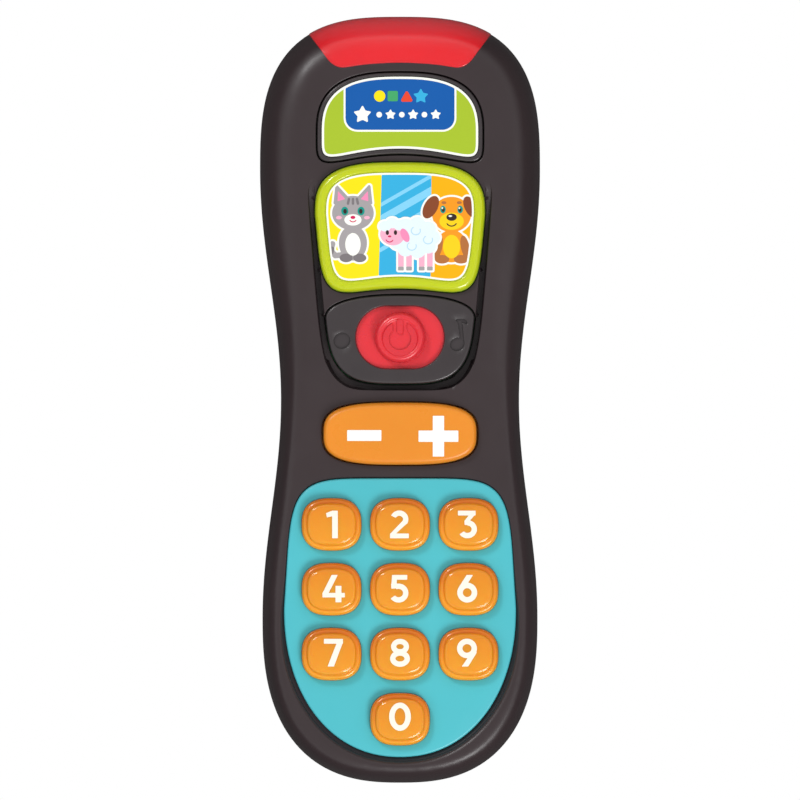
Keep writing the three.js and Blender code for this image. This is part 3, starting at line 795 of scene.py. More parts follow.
def front_height(plan):
    """The key face: a crowned casing, a raised island, and a trough round it that deepens downwards."""
    y = plan[:, 1]
    rim = rounded_height(-distance(plan, BODY), front_round(y))
    casing = FRONT_SEAM + (FACE_Z - face_dip(y) - FRONT_SEAM) * rim
    out = distance(plan, ISLAND_LINE)
    fade = 1 - smooth((y - 45) / 4.5)
    deep = (UPPER_LOBE_Y - y) * TROUGH_SLOPE + TROUGH_DEEPER * smooth((48 - y) / 12)
    floor = casing + (FACE_Z - deep - casing) * fade
    floor = np.minimum(floor, casing)
    lip = np.clip((out / trough_share(y) - TROUGH_WIDTH) / TROUGH_LIP, 0, 1)
    outside = floor + (casing - floor) * np.sqrt(1 - (1 - lip) ** 2)
    past = np.clip(out + ISLAND_EDGE, 0, ISLAND_EDGE)
    rounding = ISLAND_EDGE - np.sqrt(np.maximum(ISLAND_EDGE**2 - past**2, 0))
    top = casing + (FACE_Z - casing) * (1 - smooth((y - 47) / 3)) - rounding * fade
    raised = floor + (top - floor) * smooth((y - 13) / 6)
    z = np.where(out > 0.04, outside, raised)
    return z - lens_recess(plan)


def rear_height(plan):
    return REAR_SEAM * (1 - rounded_height(-distance(plan, BODY), REAR_ROUND))


def rim_rings(skin, side, steps=16):
    """Rings from the seam over the rounded edge, to the rim's width in from the silhouette."""
    y = BODY[:, 1]
    reach = front_round(y) if side > 0 else np.full(len(y), float(REAR_ROUND))
    seam = FRONT_SEAM if side > 0 else REAR_SEAM
    rise = FACE_Z - face_dip(y) - FRONT_SEAM if side > 0 else np.full(len(y), -REAR_SEAM)
    width = rim_width(y) if side > 0 else np.full(len(y), REAR_RIM)
    last = np.arccos((1 - width / reach) ** (EDGE_POWER / 2))
    rings = [skin.ring(offset(BODY, -0.3), seam), skin.ring(offset(BODY, -0.07), seam + 0.08 * side)]
    for k in range(steps + 1):
        angle = 0.02 + (last - 0.02) * k / steps
        inset = reach * (1 - np.cos(angle) ** (2 / EDGE_POWER))
        z = seam + rise * np.sin(angle) ** (2 / EDGE_POWER)
        plan = offset(BODY, -inset)
        if side > 0:
            depth = lens_recess(plan)
            slope = smooth((z - seam - 3) / 8)
            plan = plan - BODY_OUT * (depth * (1 - slope))[:, None]
            z = z - depth * slope
        rings.append(skin.ring(plan, z))
    skin.bands(rings)
    return rings


def clear_lines(lines, loops, margin):
    """The pieces of open lines that stay clear of closed loops."""
    pieces = []
    for line in lines:
        ok = np.ones(len(line), bool)
        for loop in loops:
            ok &= distance(line, loop) > margin
        start = None
        for i, fine in enumerate([*ok, False]):
            if fine and start is None:
                start = i
            if not fine and start is not None:
                if i - start > 3:
                    pieces.append(line[start:i])
                start = None
    return pieces


def opening_rings(skin, edge, height, lip, bottom, side=1):
    """Rings from the face over a small lip and down an opening's wall to a height, or a function of it."""
    rings = []
    for outwards, drop in fillet(lip):
        plan = offset(edge, outwards)
        rings.append(skin.ring(plan, height(plan) - side * drop))
    rings.append(skin.ring(edge, bottom(edge) if callable(bottom) else bottom))
    return rings


def island_line(out):
    """The island's outline moved outwards, starting at its top so that it can be cut open there."""
    return np.roll(offset(ISLAND_LINE, out), len(ISLAND_LINE) // 2, axis=0)


def front_shell():
    """The key face with its five openings, the trough round the island, and the hollow underneath."""
    skin = Skin()
    rim = rim_rings(skin, 1)

    def under(plan):
        near = 1 - smooth((np.abs(distance(plan, ISLAND_LINE) - 0.6) - 1.2) / 0.8)
        return FACE_Z - SKIN - face_dip(plan[:, 1]) - 3.3 * near * smooth((48 - plan[:, 1]) / 30)

    keypad = outline(**KEYPAD, count=260)
    low = smooth((-35 - keypad[:, 1]) / 30)  # 1 round the keypad's lower end, where the gap is wide
    rocker = outline(**ROCKER)
    edges = [
        (offset(keypad, 0.12 + 0.75 * low), 0.25 + 1.15 * low),
        (offset(rocker, 0.26 + 0.19 * smooth((np.abs(rocker[:, 0]) - 9) / 7)), 0.14),
        (offset(outline(**SWITCH_PLATE, count=200), GAP), 0.12),
        (offset(outline(**PICTURE, count=220), 0.14), 0.16),
        (offset(outline(**BADGE, count=200), GAP), 0.25),
    ]
    openings = [opening_rings(skin, edge, front_height, lip, under) for edge, lip in edges]
    lip_foot = front_height(edges[0][0]) - edges[0][1]
    for drop in (0.6, 1):
        openings[0].insert(-1, skin.ring(offset(keypad, 0.05), lip_foot - drop))
    outs = [-0.3, -0.2, -0.1]
    outs += [np.maximum(out * trough_share(ISLAND_LINE[:, 1]), min(out, 0.06)) for out in TROUGH_OFFSETS]
    lines = [island_line(out) for out in outs]
    loops = [skin.plan(opening[0]) for opening in openings]
    lines = clear_lines([line[line[:, 1] < TROUGH_END] for line in lines], loops, 0.12)
    skin.fill(rim[-1], [opening[0] for opening in openings], front_height, pitch=0.9, lines=lines)
    for opening in openings:
        skin.bands(opening)
    profile = [(WALL, FRONT_SEAM), (WALL, 20), (2.8, 22.4), (4, 30)]
    inner = skin.loft([(offset(BODY, -inset), np.minimum(z, under(BODY))) for inset, z in profile])
    skin.band(rim[0], inner[0])
    below = [island_line(out) for out in (-1.4, -0.6, 1.8, 2.6)]
    below = clear_lines([line[line[:, 1] < TROUGH_END] for line in below], [edge for edge, _ in edges], 0.2)
    skin.fill(inner[-1], [opening[-1] for opening in openings], under, pitch=3, lines=below)
    skin.build("front_casing", [SHELL], "casing", ["front_shell"])


front_shell()


def body_line(inset):
    """The silhouette moved inwards, with its first point again at its end."""
    line = offset(BODY, -inset)
    return np.vstack([line, line[:1]])


def rear_shell():
    """The back: a hollow half with the battery bay, the speaker's grille and six screw wells."""
    skin = Skin()
    rim = rim_rings(skin, -1)

    def inner_z(plan):
        inset = -distance(plan, BODY)
        return np.interp(inset, [REAR_WALL, 3, 5.4, 7, 8.5, REAR_ROUND], [11, 6.5, 3.9, 2.9, 2.4, SKIN])

    doorway = rounded_box(-DOOR_HALF - GAP, DOOR_LOW - GAP, DOOR_HALF + GAP, DOOR_HIGH + GAP, 1.6)
    ledge_z = 2.6
    screw_hole = circle(0, DOOR_SCREW_Y, 1.55, 24)
    seat = 6.9  # where the casing screws' heads rest
    door_rings = opening_rings(skin, doorway, rear_height, 0.3, ledge_z, side=-1)
    bay = rounded_box(-11.4, -60.5, 11.4, -10, 0.6)
    bay_low = rounded_box(-11.4, -60.5, 11.4, DOOR_HIGH, 0.6)
    bay_ring = skin.ring(bay_low, ledge_z)
    hole = skin.ring(screw_hole, ledge_z)
    skin.bands(door_rings)
    skin.fill(door_rings[-1], [bay_ring, hole])
    deep_hole = skin.ring(screw_hole, 9.5)
    skin.band(hole, deep_hole)
    skin.cap(deep_hole)
    deep = [bay_ring] + skin.loft([(bay_low, 2.9), (bay, 3), (bay, 13.7)])
    skin.bands(deep[:2])
    skin.cap(deep[-1])

    outer_openings = [door_rings[0]]
    inner_openings = []
    for x, y in SCREW_SPOTS:
        well = circle(x, y, 2.5)
        bore, tube = circle(x, y, 1.4), circle(x, y, 2.2)
        rings = opening_rings(skin, well, rear_height, 0.35, seat, side=-1)
        walls = [(bore, seat), (bore, 14.2), (tube, 14.2), (tube, inner_z(tube))]
        rings += [skin.ring(plan, z) for plan, z in walls]
        skin.bands(rings)
        outer_openings.append(rings[0])
        inner_openings.append(rings[-1])
    for radius, count in [(0, 1), (4.2, 6), (8.4, 12)]:  # the grille, its first hole straight above the middle
        for x, y in circle(0, SPEAKER_Y, radius, count):
            spot = circle(-(y - SPEAKER_Y), SPEAKER_Y + x, 1.2, 20)
            rings = opening_rings(skin, spot, rear_height, 0.3, inner_z, side=-1)
            skin.bands(rings)
            outer_openings.append(rings[0])
            inner_openings.append(rings[-1])
    box_plan = rounded_box(-13.6, -68, 13.6, -8.5, 1)
    box_ring = skin.ring(box_plan, inner_z(box_plan))
    box_top = skin.ring(box_plan, 14.6)
    skin.band(box_ring, box_top)
    skin.cap(box_top)
    inner_openings.append(box_ring)
    loops = [skin.plan(opening) for opening in outer_openings]
    guides = [body_line(inset) for inset in (0.95, 1.25, 1.6, 2, 2.5, 3.1, 3.8, 4.6, 5.6, 7)]
    skin.fill(rim[-1], outer_openings, rear_height, pitch=1.1, lines=clear_lines(guides, loops, 0.15))
    near, far = TONGUE
    profile = [(near, REAR_SEAM), (near, TONGUE_TOP), (far, TONGUE_TOP), (far, 13.4)]
    profile += [(REAR_WALL, 12.4), (REAR_WALL, 11)]
    inner = skin.loft([(offset(BODY, -inset), z) for inset, z in profile])
    skin.band(rim[0], inner[0])
    loops = [skin.plan(opening) for opening in inner_openings]
    guides = [body_line(inset) for inset in (2.4, 3, 4, 5.4, 7, 8.5)]
    skin.fill(inner[-1], inner_openings, inner_z, pitch=4, lines=clear_lines(guides, loops, 0.15))
    skin.build("rear_casing", [SHELL], "casing", ["rear_shell"])


LENS_PROUD = 0.14
LENS_ROUND = 0.4  # radius of the lens's outer edge
LENS_THICK = 1.3


def grid_surface(skin, grid):
    """Adds a grid of points and the faces between them, and returns its indices."""
    rows, columns = grid.shape[:2]
    made = skin.add(grid.reshape(-1, 3)).reshape(rows, columns)
    for r in range(rows - 1):
        skin.band(made[r], made[r + 1], closed=False)
    return made


def signal_lens():
    """A curved cap that runs from its arched lower edge over the rim and down to the seam."""
    edge_steps = np.array([0, 0.04, 0.12, 0.24, 0.4])
    lower = LENS_LINE[np.abs(LENS_LINE[:, 0]) < 16.5]
    lower = lower[np.argsort(lower[:, 0])]
    top = BODY[(BODY[:, 1] > 70) & (np.abs(BODY[:, 0]) < 20.75)]
    top = top[np.argsort(top[:, 0])]

    def along(line, count=90):
        walked = np.concatenate([[0], np.cumsum(np.hypot(*np.diff(line, axis=0).T))])
        length = walked[-1]
        middle = np.linspace(0.8, length - 0.8, count)
        wanted = np.concatenate([edge_steps, middle, (length - edge_steps)[::-1]])
        return np.column_stack([np.interp(wanted, walked, line[:, k]) for k in (0, 1)]), wanted, length

    starts, walked, length = along(lower)
    ends = along(top)[0]
    rows, insets = [], []
    angles = np.linspace(1, 0, 16)
    for start, end in zip(starts, ends):
        share = np.linspace(0, 1, 300)
        line = start + (end - start) * share[:, None]
        inset = -distance(line, BODY)
        inset[-1] = 0
        reach = front_round(line[-1:, 1])[0]
        width = rim_width(line[-1, 1])
        last = math.acos((1 - width / reach) ** (EDGE_POWER / 2))
        rim = reach * (1 - np.cos(0.02 + (last - 0.02) * angles) ** (2 / EDGE_POWER))
        flat = np.concatenate([inset[0] - edge_steps, np.linspace(inset[0] - 0.8, width, 10)[:-1]])
        wanted = np.concatenate([flat, rim])
        order = np.argsort(inset)
        at = np.interp(wanted, inset[order], share[order])
        rows.append(start + (end - start) * at[:, None])
        insets.append(wanted)
    plan, inset = np.array(rows), np.array(insets)
    y = plan[..., 1]
    z = FRONT_SEAM + (FACE_Z - face_dip(y) - FRONT_SEAM) * rounded_height(inset, front_round(y))
    grid = np.dstack([plan, z])
    rim_line = body_outline(2880)
    ahead = rim_line[:, 1] > 60
    nearest = ((plan[..., None, :] - rim_line[ahead]) ** 2).sum(-1).argmin(-1)
    turn = np.clip(1 - inset / front_round(y), 0, 1 - 1e-6)
    steep = turn ** (EDGE_POWER - 1) * (1 - turn**EDGE_POWER) ** (1 / EDGE_POWER - 1) / front_round(y)
    steep *= FACE_Z - FRONT_SEAM
    normal = np.dstack([outward(rim_line)[ahead][nearest] * steep[..., None], np.ones_like(steep)])
    normal /= np.linalg.norm(normal, axis=2)[..., None]
    side = np.minimum(walked, length - walked)[:, None]
    low = np.concatenate([edge_steps, np.full(plan.shape[1] - len(edge_steps), 9.0)])[None]
    near = np.clip(np.minimum(side, low), 0, LENS_ROUND)
    proud = LENS_PROUD - (LENS_ROUND - np.sqrt(LENS_ROUND**2 - (LENS_ROUND - near) ** 2))
    skin = Skin()
    outer = grid_surface(skin, grid + normal * proud[..., None])
    inner = grid_surface(skin, grid - normal * LENS_THICK)
    for border in (np.s_[0], np.s_[-1], np.s_[:, 0], np.s_[:, -1]):
        skin.band(outer[border], inner[border], closed=False)
    skin.build("signal_lens_cap", [LENS], "casing", ["signal_lens"])


def battery_door():
    """A panel with a thumb arrow, grip ridges and a recess for its captive screw."""
    skin = Skin()
    panel = rounded_box(-DOOR_HALF, DOOR_LOW, DOOR_HALF, DOOR_HIGH, 1.3, 400)
    notched = without(loop_field(panel), ellipse(0, DOOR_SCREW_Y, 2.5, 2.5))
    edge = relaxed(even(contours(notched, (-12.5, -67, 12.5, -13), 0.15)[0], 420), 12)
    outside = 0.15
    rim = [(offset(edge, -inwards), outside + drop) for inwards, drop in fillet(0.25)[::-1]]
    rings = skin.loft([(edge, 1.8), *rim])
    shaft = [(-1, -24.2), (-1, -27), (1, -27), (1, -24.2)]
    arrow = polygon((0, -20.2), (-2.6, -24.2), *shaft, (2.6, -24.2))
    recesses = [soft_loop(arrow, (-3.5, -28, 3.5, -19), 100)]
    recesses += [rounded_box(-6, y - 0.55, 6, y + 0.55, 0.54, 60) for y in np.arange(-37.5, -30, 2.2)]
    openings = [skin.pocket(plan, [(0.15, outside), (0.04, 0.2), (0, 0.3), (-0.03, 0.6)]) for plan in recesses]
    skin.fill(rings[-1], openings, level(outside), pitch=2.2)
    skin.cap(rings[0])
    slab = skin.loft([(panel, 1.8), (panel, 2.3)])
    hole = skin.loft([(circle(0, DOOR_SCREW_Y, 1.35), 1.8), (circle(0, DOOR_SCREW_Y, 1.35), 2.3)])
    for face, gap in zip(slab, hole):
        skin.fill(face, [gap])
    for x in (-10.4, 10.4):
        hook = rounded_box(x - 0.8, -16.3, x + 0.8, -13.4, 0.3, 24)
        tip = rounded_box(x - 0.8, -14.3, x + 0.8, -10.9, 0.3, 24)
        stem = skin.loft([(hook, 2.2), (hook, 2.6)])
        for ring in stem:
            skin.cap(ring)
        toe = skin.loft([(tip, 2.6), (tip, 3.3)])
        for ring in toe:
            skin.cap(ring)
    skin.build("door_panel", [SHELL], "battery_door", ["battery_door"])


def soft_loop(field, box, count, step=0.06):
    """A field's one outline, with soft corners."""
    return relaxed(even(contours(field, box, step)[0], count), 8)


def lathe(skin, profile, x, y, count):
    """A turned solid about an upright axis, from profile pairs (radius, z) whose ends are closed flat."""
    rings = [skin.ring(circle(x, y, radius, count), z) for radius, z in profile]
    skin.bands(rings)
    skin.cap(rings[0])
    skin.cap(rings[-1])


SHAFT = 1.05  # radius of every screw's shaft


def screw(name, node, body, x, y, head_z, radius, tip):
    """A pan-head screw, head down, with a cross recess pressed into its head."""
    skin = Skin()
    arm = 0.62 * radius
    cross = joined(bar(-arm, 0, arm, 0, 0.44), bar(0, -arm, 0, arm, 0.44))
    plus = soft_loop(cross, (-2, -2, 2, 2), 80, 0.04) + [x, y]
    head = [(0.7, 0), (0.86, 0.08), (0.96, 0.24), (1, 0.5), (1, 1.05), (0.97, 1.15)]
    profile = [(radius * share, head_z + rise) for share, rise in head]
    profile += [(SHAFT, head_z + 1.15), (SHAFT, tip - 1.2), (0.2, tip)]
    rings = skin.loft([(circle(x, y, reach, 40), z) for reach, z in profile])
    skin.cap(rings[-1])
    slot = skin.loft([(plus, head_z), (offset(plus, -0.05), head_z + 0.5)])
    skin.fill(rings[0], [slot[0]])
    skin.cap(slot[-1])
    skin.build(name, [STEEL], body, [node])


rear_shell()
signal_lens()
battery_door()
screw("door_screw", "battery_door_screw", "battery_door", 0, DOOR_SCREW_Y, 0.4, 2, 8.2)
for index, (screw_x, screw_y) in enumerate(SCREW_SPOTS):
    names = f"casing_screw_fine_{index + 1}", f"casing_screw_{index + 1}"
    screw(*names, "casing", screw_x, screw_y, 5.4, 2.1, 19.6)

# ---------------------------------------------------------------- badge and picture button


def badge():
    """The badge's frame, and its print: a green field, a blue tab, and plain shapes."""
    skin = Skin()
    edge = outline(**BADGE, count=220)
    label = outline(**BADGE_LABEL, count=220)
    side = rounded_side(edge, 27.3, 0.4)
    lip = [(0.3, 27.3), (0.16, 27.26), (0.1, 27.12), (0.1, 26.4)]
    rings = skin.loft([(edge, 23.6), *side, *[(offset(label, out), z) for out, z in lip]])
    skin.cap(rings[0])
    skin.cap(rings[-1])
    skin.build("badge_surround", [PLATE], "casing", ["badge_frame"])

    skin = Skin()
    box = (-19, 51, 19, 73)
    sheet = loop_field(offset(label, -0.1))
    field = sampled(loop_field(offset(label, -0.62)), box)
    tab = polygon(*rounded_box(-12.05, 59.75, 12.05, 80, 2.6, 160))
    imprint(skin, sheet, box, 26.4, 27, 0.2, paint="white")
    imprint(skin, field, box, 26.95, 27.02, 0.2, paint="green")
    imprint(skin, both(grown(field, 0.1), grown(tab, 0.42)), box, 27, 27.04, 0.15, paint="white")
    imprint(skin, both(field, tab), box, 27.02, 27.06, 0.15, paint="blue")
    shapes = [
        ("yellow", ellipse(-4.5, 67.2, 1.25, 1.25)),
        ("leaf", grown(polygon((-2.4, 66.4), (-0.8, 66.4), (-0.8, 68), (-2.4, 68)), 0.35)),
        ("red", grown(polygon((0.6, 66.3), (2.4, 66.3), (1.5, 67.9)), 0.35)),
        ("sky", star(4.6, 67.15, 1.65)),
        ("white", star(-8.3, 63.1, 1.95)),
    ]
    shapes += [("white", ellipse(x, 63.1, 0.62, 0.62)) for x in (-4.6, 0.4, 5.4)]
    shapes += [("white", star(x, 63.1, 1.15)) for x in (-2.1, 2.9, 7.9)]
    for name, shape in shapes:
        imprint(skin, shape, (-11, 60, 11, 70), 27.04, 27.1, 0.07, paint=name)
    skin.build("badge_print", list(INKS.values()), "casing", ["badge_label"])


def star(x, y, radius):
    """A plump five-pointed star."""
    angle = np.pi / 2 + np.arange(10) * np.pi / 5
    reach = np.where(np.arange(10) % 2, 0.5, 0.92) * radius
    tips = np.column_stack([x + reach * np.cos(angle), y + reach * np.sin(angle)])
    return grown(polygon(*tips), 0.08 * radius)


def picture_button():
    """The translucent frame round the picture, hollow underneath."""
    skin = Skin()
    outer = outline(**PICTURE, count=220)
    label = outline(**SCENE, count=220)
    dome = [(0, 21.3), (0, 27.2), (0.015, 27.6), (0.06, 28), (0.14, 28.35), (0.25, 28.62)]
    dome += [(0.4, 28.81), (0.58, 28.9), (0.74, 28.9), (0.84, 28.86), (0.9, 28.8), (0.93, 28.74), (0.94, 28.58)]
    rings = skin.loft([(outer + (label - outer) * share, z) for share, z in dome])
    skin.hollow(rings[0], offset(outer, -1.6), 21.3, 26.4)
    skin.cap(rings[-1])
    skin.build("picture_cap", [BUTTON], "picture_button", ["picture_button"])


def pair(x, y, rx, ry, apart, turn=0):
    """Two mirrored ellipses, each apart from the line x."""
    return joined(ellipse(x - apart, y, rx, ry, -turn), ellipse(x + apart, y, rx, ry, turn))


def cat(x, y):
    """A grey kitten sitting upright with its tail out to the left."""
    ears, inner_ears = [], []
    for side in (-1, 1):
        ear = [(x + a * side, y + b) for a, b in [(4, 2.2), (3.6, 5.9), (1.2, 3.3)]]
        ears.append(grown(polygon(*ear), 0.3))
        inner_ears.append(polygon(*[(x + a * side, y + b) for a, b in [(3.4, 2.6), (3.3, 4.9), (1.7, 3.1)]]))
    head = ellipse(x, y, 4.6, 3.8)
    body = ellipse(x, y - 6.6, 3.1, 3.9)
    bends = [(-2, -9.2), (-3.9, -9.4), (-4.9, -8.2), (-4.5, -6.8)]
    tail = joined(*[capsule(x + a, y + b, x + c, y + d, 0.62) for (a, b), (c, d) in zip(bends, bends[1:])])
    feet = pair(x, y - 9.9, 1.45, 0.95, 1.5)
    brow = [capsule(x + a, y + 2.1, x + a * 0.8, y + 3.1, 0.28) for a in (-1.1, 0.01, 1.1)]
    return joined(*ears, head, body, tail, feet), [
        ("grey", joined(*ears, body, tail)),
        ("grey", head),
        ("pink", joined(*inner_ears)),
        ("dark_grey", joined(feet, *brow, capsule(x - 4.8, y - 8.7, x - 4.6, y - 7.9, 0.5))),
        ("white", joined(ellipse(x, y - 6.9, 1.7, 2.5), ellipse(x, y - 1.5, 1.9, 1.25))),
        ("teal", pair(x, y + 0.45, 0.78, 0.95, 1.8)),
        ("black", pair(x, y + 0.4, 0.4, 0.55, 1.75)),
        ("cherry", joined(ellipse(x, y - 0.95, 0.55, 0.36), arc_field(x, y - 1.3, 0.85, 0.75, 0.22, 200, 340))),
        ("pale_pink", pair(x, y - 1, 0.65, 0.4, 3.1)),
    ]


def sheep(x, y):
    """A white sheep standing side on, with a pink face turned to the left."""
    turns = np.arange(0, 6.2, 0.698)
    bumps = [ellipse(x + 3.9 * math.cos(a), y + 3 * math.sin(a), 1.75, 1.6) for a in turns]
    wool = joined(ellipse(x, y, 4.2, 3.3), *bumps)
    face = ellipse(x - 4.9, y + 0.6, 2.7, 2.3, -12)
    locks = [(-1.6, -0.2), (0, 0.5), (1.6, 0)]
    tuft = joined(*[ellipse(x - 4.9 + a, y + 2.7 + b, 1.35, 1.15) for a, b in locks])
    ear = ellipse(x - 2.1, y + 0.5, 0.85, 1.6, 25)
    legs = [bar(x + a, y - 3, x + a, y - 6.4, 1.25) for a in (-3, -1.2, 1.6, 3.4)]
    hooves = [grown(bar(x + a, y - 6.5, x + a, y - 7.2, 1.1), 0.08) for a in (-3, -1.2, 1.6, 3.4)]
    curls = [arc_field(x + a, y + b, 1.1, 1.0, 0.2, 120, 30) for a, b in [(0.3, 1.5), (3, -0.5), (-0.6, -1.9)]]
    smile = arc_field(x - 5.5, y - 0.3, 0.9, 0.8, 0.22, 190, 340)
    return joined(wool, face, tuft, ear, *legs, *hooves), [
        ("pale_pink", joined(*legs)),
        ("grey", joined(*hooves)),
        ("wool", wool),
        ("wool_line", joined(*curls)),
        ("pale_pink", face),
        ("wool", tuft),
        ("pink", ear),
        ("black", joined(ellipse(x - 6, y + 1.1, 0.36, 0.55), ellipse(x - 4.2, y + 1.1, 0.36, 0.55))),
        ("cherry", joined(smile, ellipse(x - 5.5, y + 0.25, 0.4, 0.22))),
    ]


def dog(x, y):
    """An orange puppy sitting upright, with brown ears that hang to each side."""
    head = ellipse(x, y, 4.3, 3.9)
    ears = joined(ellipse(x - 4.6, y + 1.6, 1.5, 2.7, -28), ellipse(x + 4.3, y + 1.6, 1.4, 2.6, 28))
    body = ellipse(x, y - 7, 3.4, 3.6)
    glints = [(-0.3, -0.35, 0.42, 0.2), (-2.05, 1.4, 0.2, 0.22), (1.7, 1.4, 0.2, 0.22)]
    arms = pair(x, y - 7.2, 0.95, 2.6, 3, 12)
    feet = pair(x, y - 9.9, 1.6, 0.95, 2.1)
    smile = arc_field(x, y - 1.5, 1.3, 1.2, 0.26, 205, 335)
    return joined(head, ears, body, arms, feet), [
        ("dog", body),
        ("tan", joined(arms, feet)),
        ("dog_light", ellipse(x, y - 7.1, 1.9, 2.6)),
        ("dog", head),
        ("brown", ears),
        ("dog_light", ellipse(x, y - 1.5, 2.7, 1.9)),
        ("black", joined(ellipse(x, y - 0.6, 1.15, 0.8), smile)),
        ("teal", pair(x, y + 1.1, 0.62, 0.85, 1.9)),
        ("black", pair(x, y + 1.05, 0.34, 0.5, 1.85)),
        ("white", joined(*[ellipse(x + a, y + b, *size) for a, b, *size in glints])),
        ("tan", pair(x, y + 2.6, 0.55, 0.3, 1.7)),
    ]


def picture_label():
    """A printed scene: three stripes behind three young animals."""
    skin = Skin()
    box = (-17.5, 24, 17.5, 51.5)
    label = outline(**SCENE, count=220)
    base = 28.72
    imprint(skin, loop_field(offset(label, -0.1)), box, 28.58, base, 0.2, paint="white")
    window = sampled(loop_field(offset(label, -0.52)), box)
    stripes = [
        ("yellow", polygon((-30, 20), (-4.9, 20), (-3.9, 55), (-30, 55))),
        ("sky", polygon((-4.9, 20), (6.7, 20), (7, 55), (-3.9, 55))),
        ("orange", polygon((6.7, 20), (30, 20), (30, 55), (7, 55))),
    ]
    for name, stripe in stripes:
        imprint(skin, both(window, stripe), box, base - 0.03, base + 0.01, 0.15, paint=name)
    rays = [(-3.5, 0.9), (-0.8, 1.3), (3.2, 1.6), (6.4, 0.8)]
    bands = joined(*[bar(-9, 34 + rise, 12, 46 + rise, thick) for rise, thick in rays])
    pane = both(window, grown(stripes[1][1], -0.02))
    imprint(skin, both(pane, bands), box, base, base + 0.02, 0.12, paint="pale_sky")
    for animal, x, y, low in [(cat, -10.4, 41.3, base), (dog, 11.4, 41, base), (sheep, 3.2, 35.9, base + 0.08)]:
        whole, layers = animal(x, y)
        patch = (x - 9, y - 12, x + 8, y + 8)
        imprint(skin, both(grown(whole, 0.42), window), patch, low, low + 0.03, 0.1, paint="white")
        for step, (name, shape) in enumerate(layers):
            high = low + 0.04 + 0.006 * step
            imprint(skin, both(shape, window), patch, low + 0.01, high, 0.09, paint=name)
    skin.build("picture_print", list(INKS.values()), "picture_button", ["picture_label"])


badge()
picture_button()
picture_label()

# ---------------------------------------------------------------- slide switch


def switch_plate():
    """The plate with the slider's window, its chamber underneath, and two engraved signs."""
    skin = Skin()
    edge = outline(**SWITCH_PLATE, count=200)
    rings = skin.loft([(edge, 22), *rounded_side(edge, FACE_Z, 0.5)])
    window = stadium(WINDOW_HALF, WINDOW_TALL, KNOB_Y)
    chamber = stadium(WINDOW_HALF + 4.9, WINDOW_TALL + 0.75, KNOB_Y)
    flat = level(FACE_Z)
    rim = opening_rings(skin, window, flat, 0.15, 26.75)
    rim.append(skin.ring(offset(window, -0.2), 26.1))
    rim += [skin.ring(chamber, 26.1), skin.ring(chamber, 22)]
    skin.bands(rim)
    skin.fill(rings[0], [rim[-1]])
    flag = [(14.9, 16.55), (14.9, 17.1), (14.45, 17.9), (12.2, 17.9), (12.25, 17.5), (12.75, 17.45)]
    note = joined(
        ellipse(12.65, 12.3, 1.62, 1.5, 15),
        polygon((13.55, 12.2), (14.2, 12.4), (13.75, 17.3), *flag),
    )
    signs = [circle(-12.85, 13.1, 1.8, 48), soft_loop(note, (10, 10, 16, 19), 130)]
    pockets = [skin.pocket(plan, [(0.1, FACE_Z), (0.03, 26.95), (0, 26.82), (-0.02, 26.4)]) for plan in signs]
    skin.fill(rings[-1], [rim[0], *pockets], flat, pitch=1.5)
    skin.build("switch_surround", [PLATE], "casing", ["switch_plate"])


SIGN_ROUND = 0.09


def raised(skin, field, box, base, rise, step=0.06):
    """A raised sign with a soft upper edge."""
    loops = [relaxed(even(loop, max(16, int(len(loop) * 0.6))), 22) for loop in contours(field, box, step)]
    levels = [(0, base - 0.3), (0, base + rise * 0.35)]
    levels += [(-0.3 * SIGN_ROUND, base + rise * 0.75), (-SIGN_ROUND, base + rise)]
    stacks = [[skin.ring(offset(loop, out), z) for out, z in levels] for loop in loops]
    for stack in stacks:
        skin.bands(stack)
    for end in (0, -1):
        chosen = [stack[end] for stack in stacks]
        skin.fill(chosen[0], chosen[1:])


def switch_slider():
    """A slab that fills the window, and a dished knob with a raised power sign."""
    skin = Skin()
    base = stadium(WINDOW_HALF + 2.4, WINDOW_TALL + 0.4, KNOB_Y)
    slab = skin.loft([(base, 24.5), (base, 25.85), (offset(base, -0.1), 25.95)])
    skin.cap(slab[0])
    skin.cap(slab[-1])
    side = [(KNOB_RADIUS, 25.5), (KNOB_RADIUS, 27), (5.64, 27.45), (5.52, 27.85), (5.3, 28.25)]
    side += [(5, 28.56), (4.65, 28.72), (4.35, 28.7)]
    dish = [(4.1, 28.56), (3.95, 28.42), (3.8, 28.36), (3, 28.3), (1.5, 28.26), (0.3, 28.25)]
    lathe(skin, side + dish, 0, KNOB_Y, 96)
    ring = without(ring_field(0, KNOB_Y - 0.35, 3.85, 3.85, 1.45), bar(0, KNOB_Y, 0, KNOB_Y + 6, 3.1))
    stroke = grown(bar(0, KNOB_Y + 0.95, 0, KNOB_Y + 3.85, 1.0), 0.22)
    for sign in (ring, stroke):
        raised(skin, sign, (-5, KNOB_Y - 5, 5, KNOB_Y + 5), 28.3, 0.42)
    skin.build("slider_knob", [SLIDER], "switch_slider", ["switch_slider"])


switch_plate()
switch_slider()

# ---------------------------------------------------------------- volume rocker


def rocker_top(plan):
    return 27.9 - 0.0011 * plan[:, 0] ** 2 - 0.006 * (plan[:, 1] - ROCKER["mid"]) ** 2


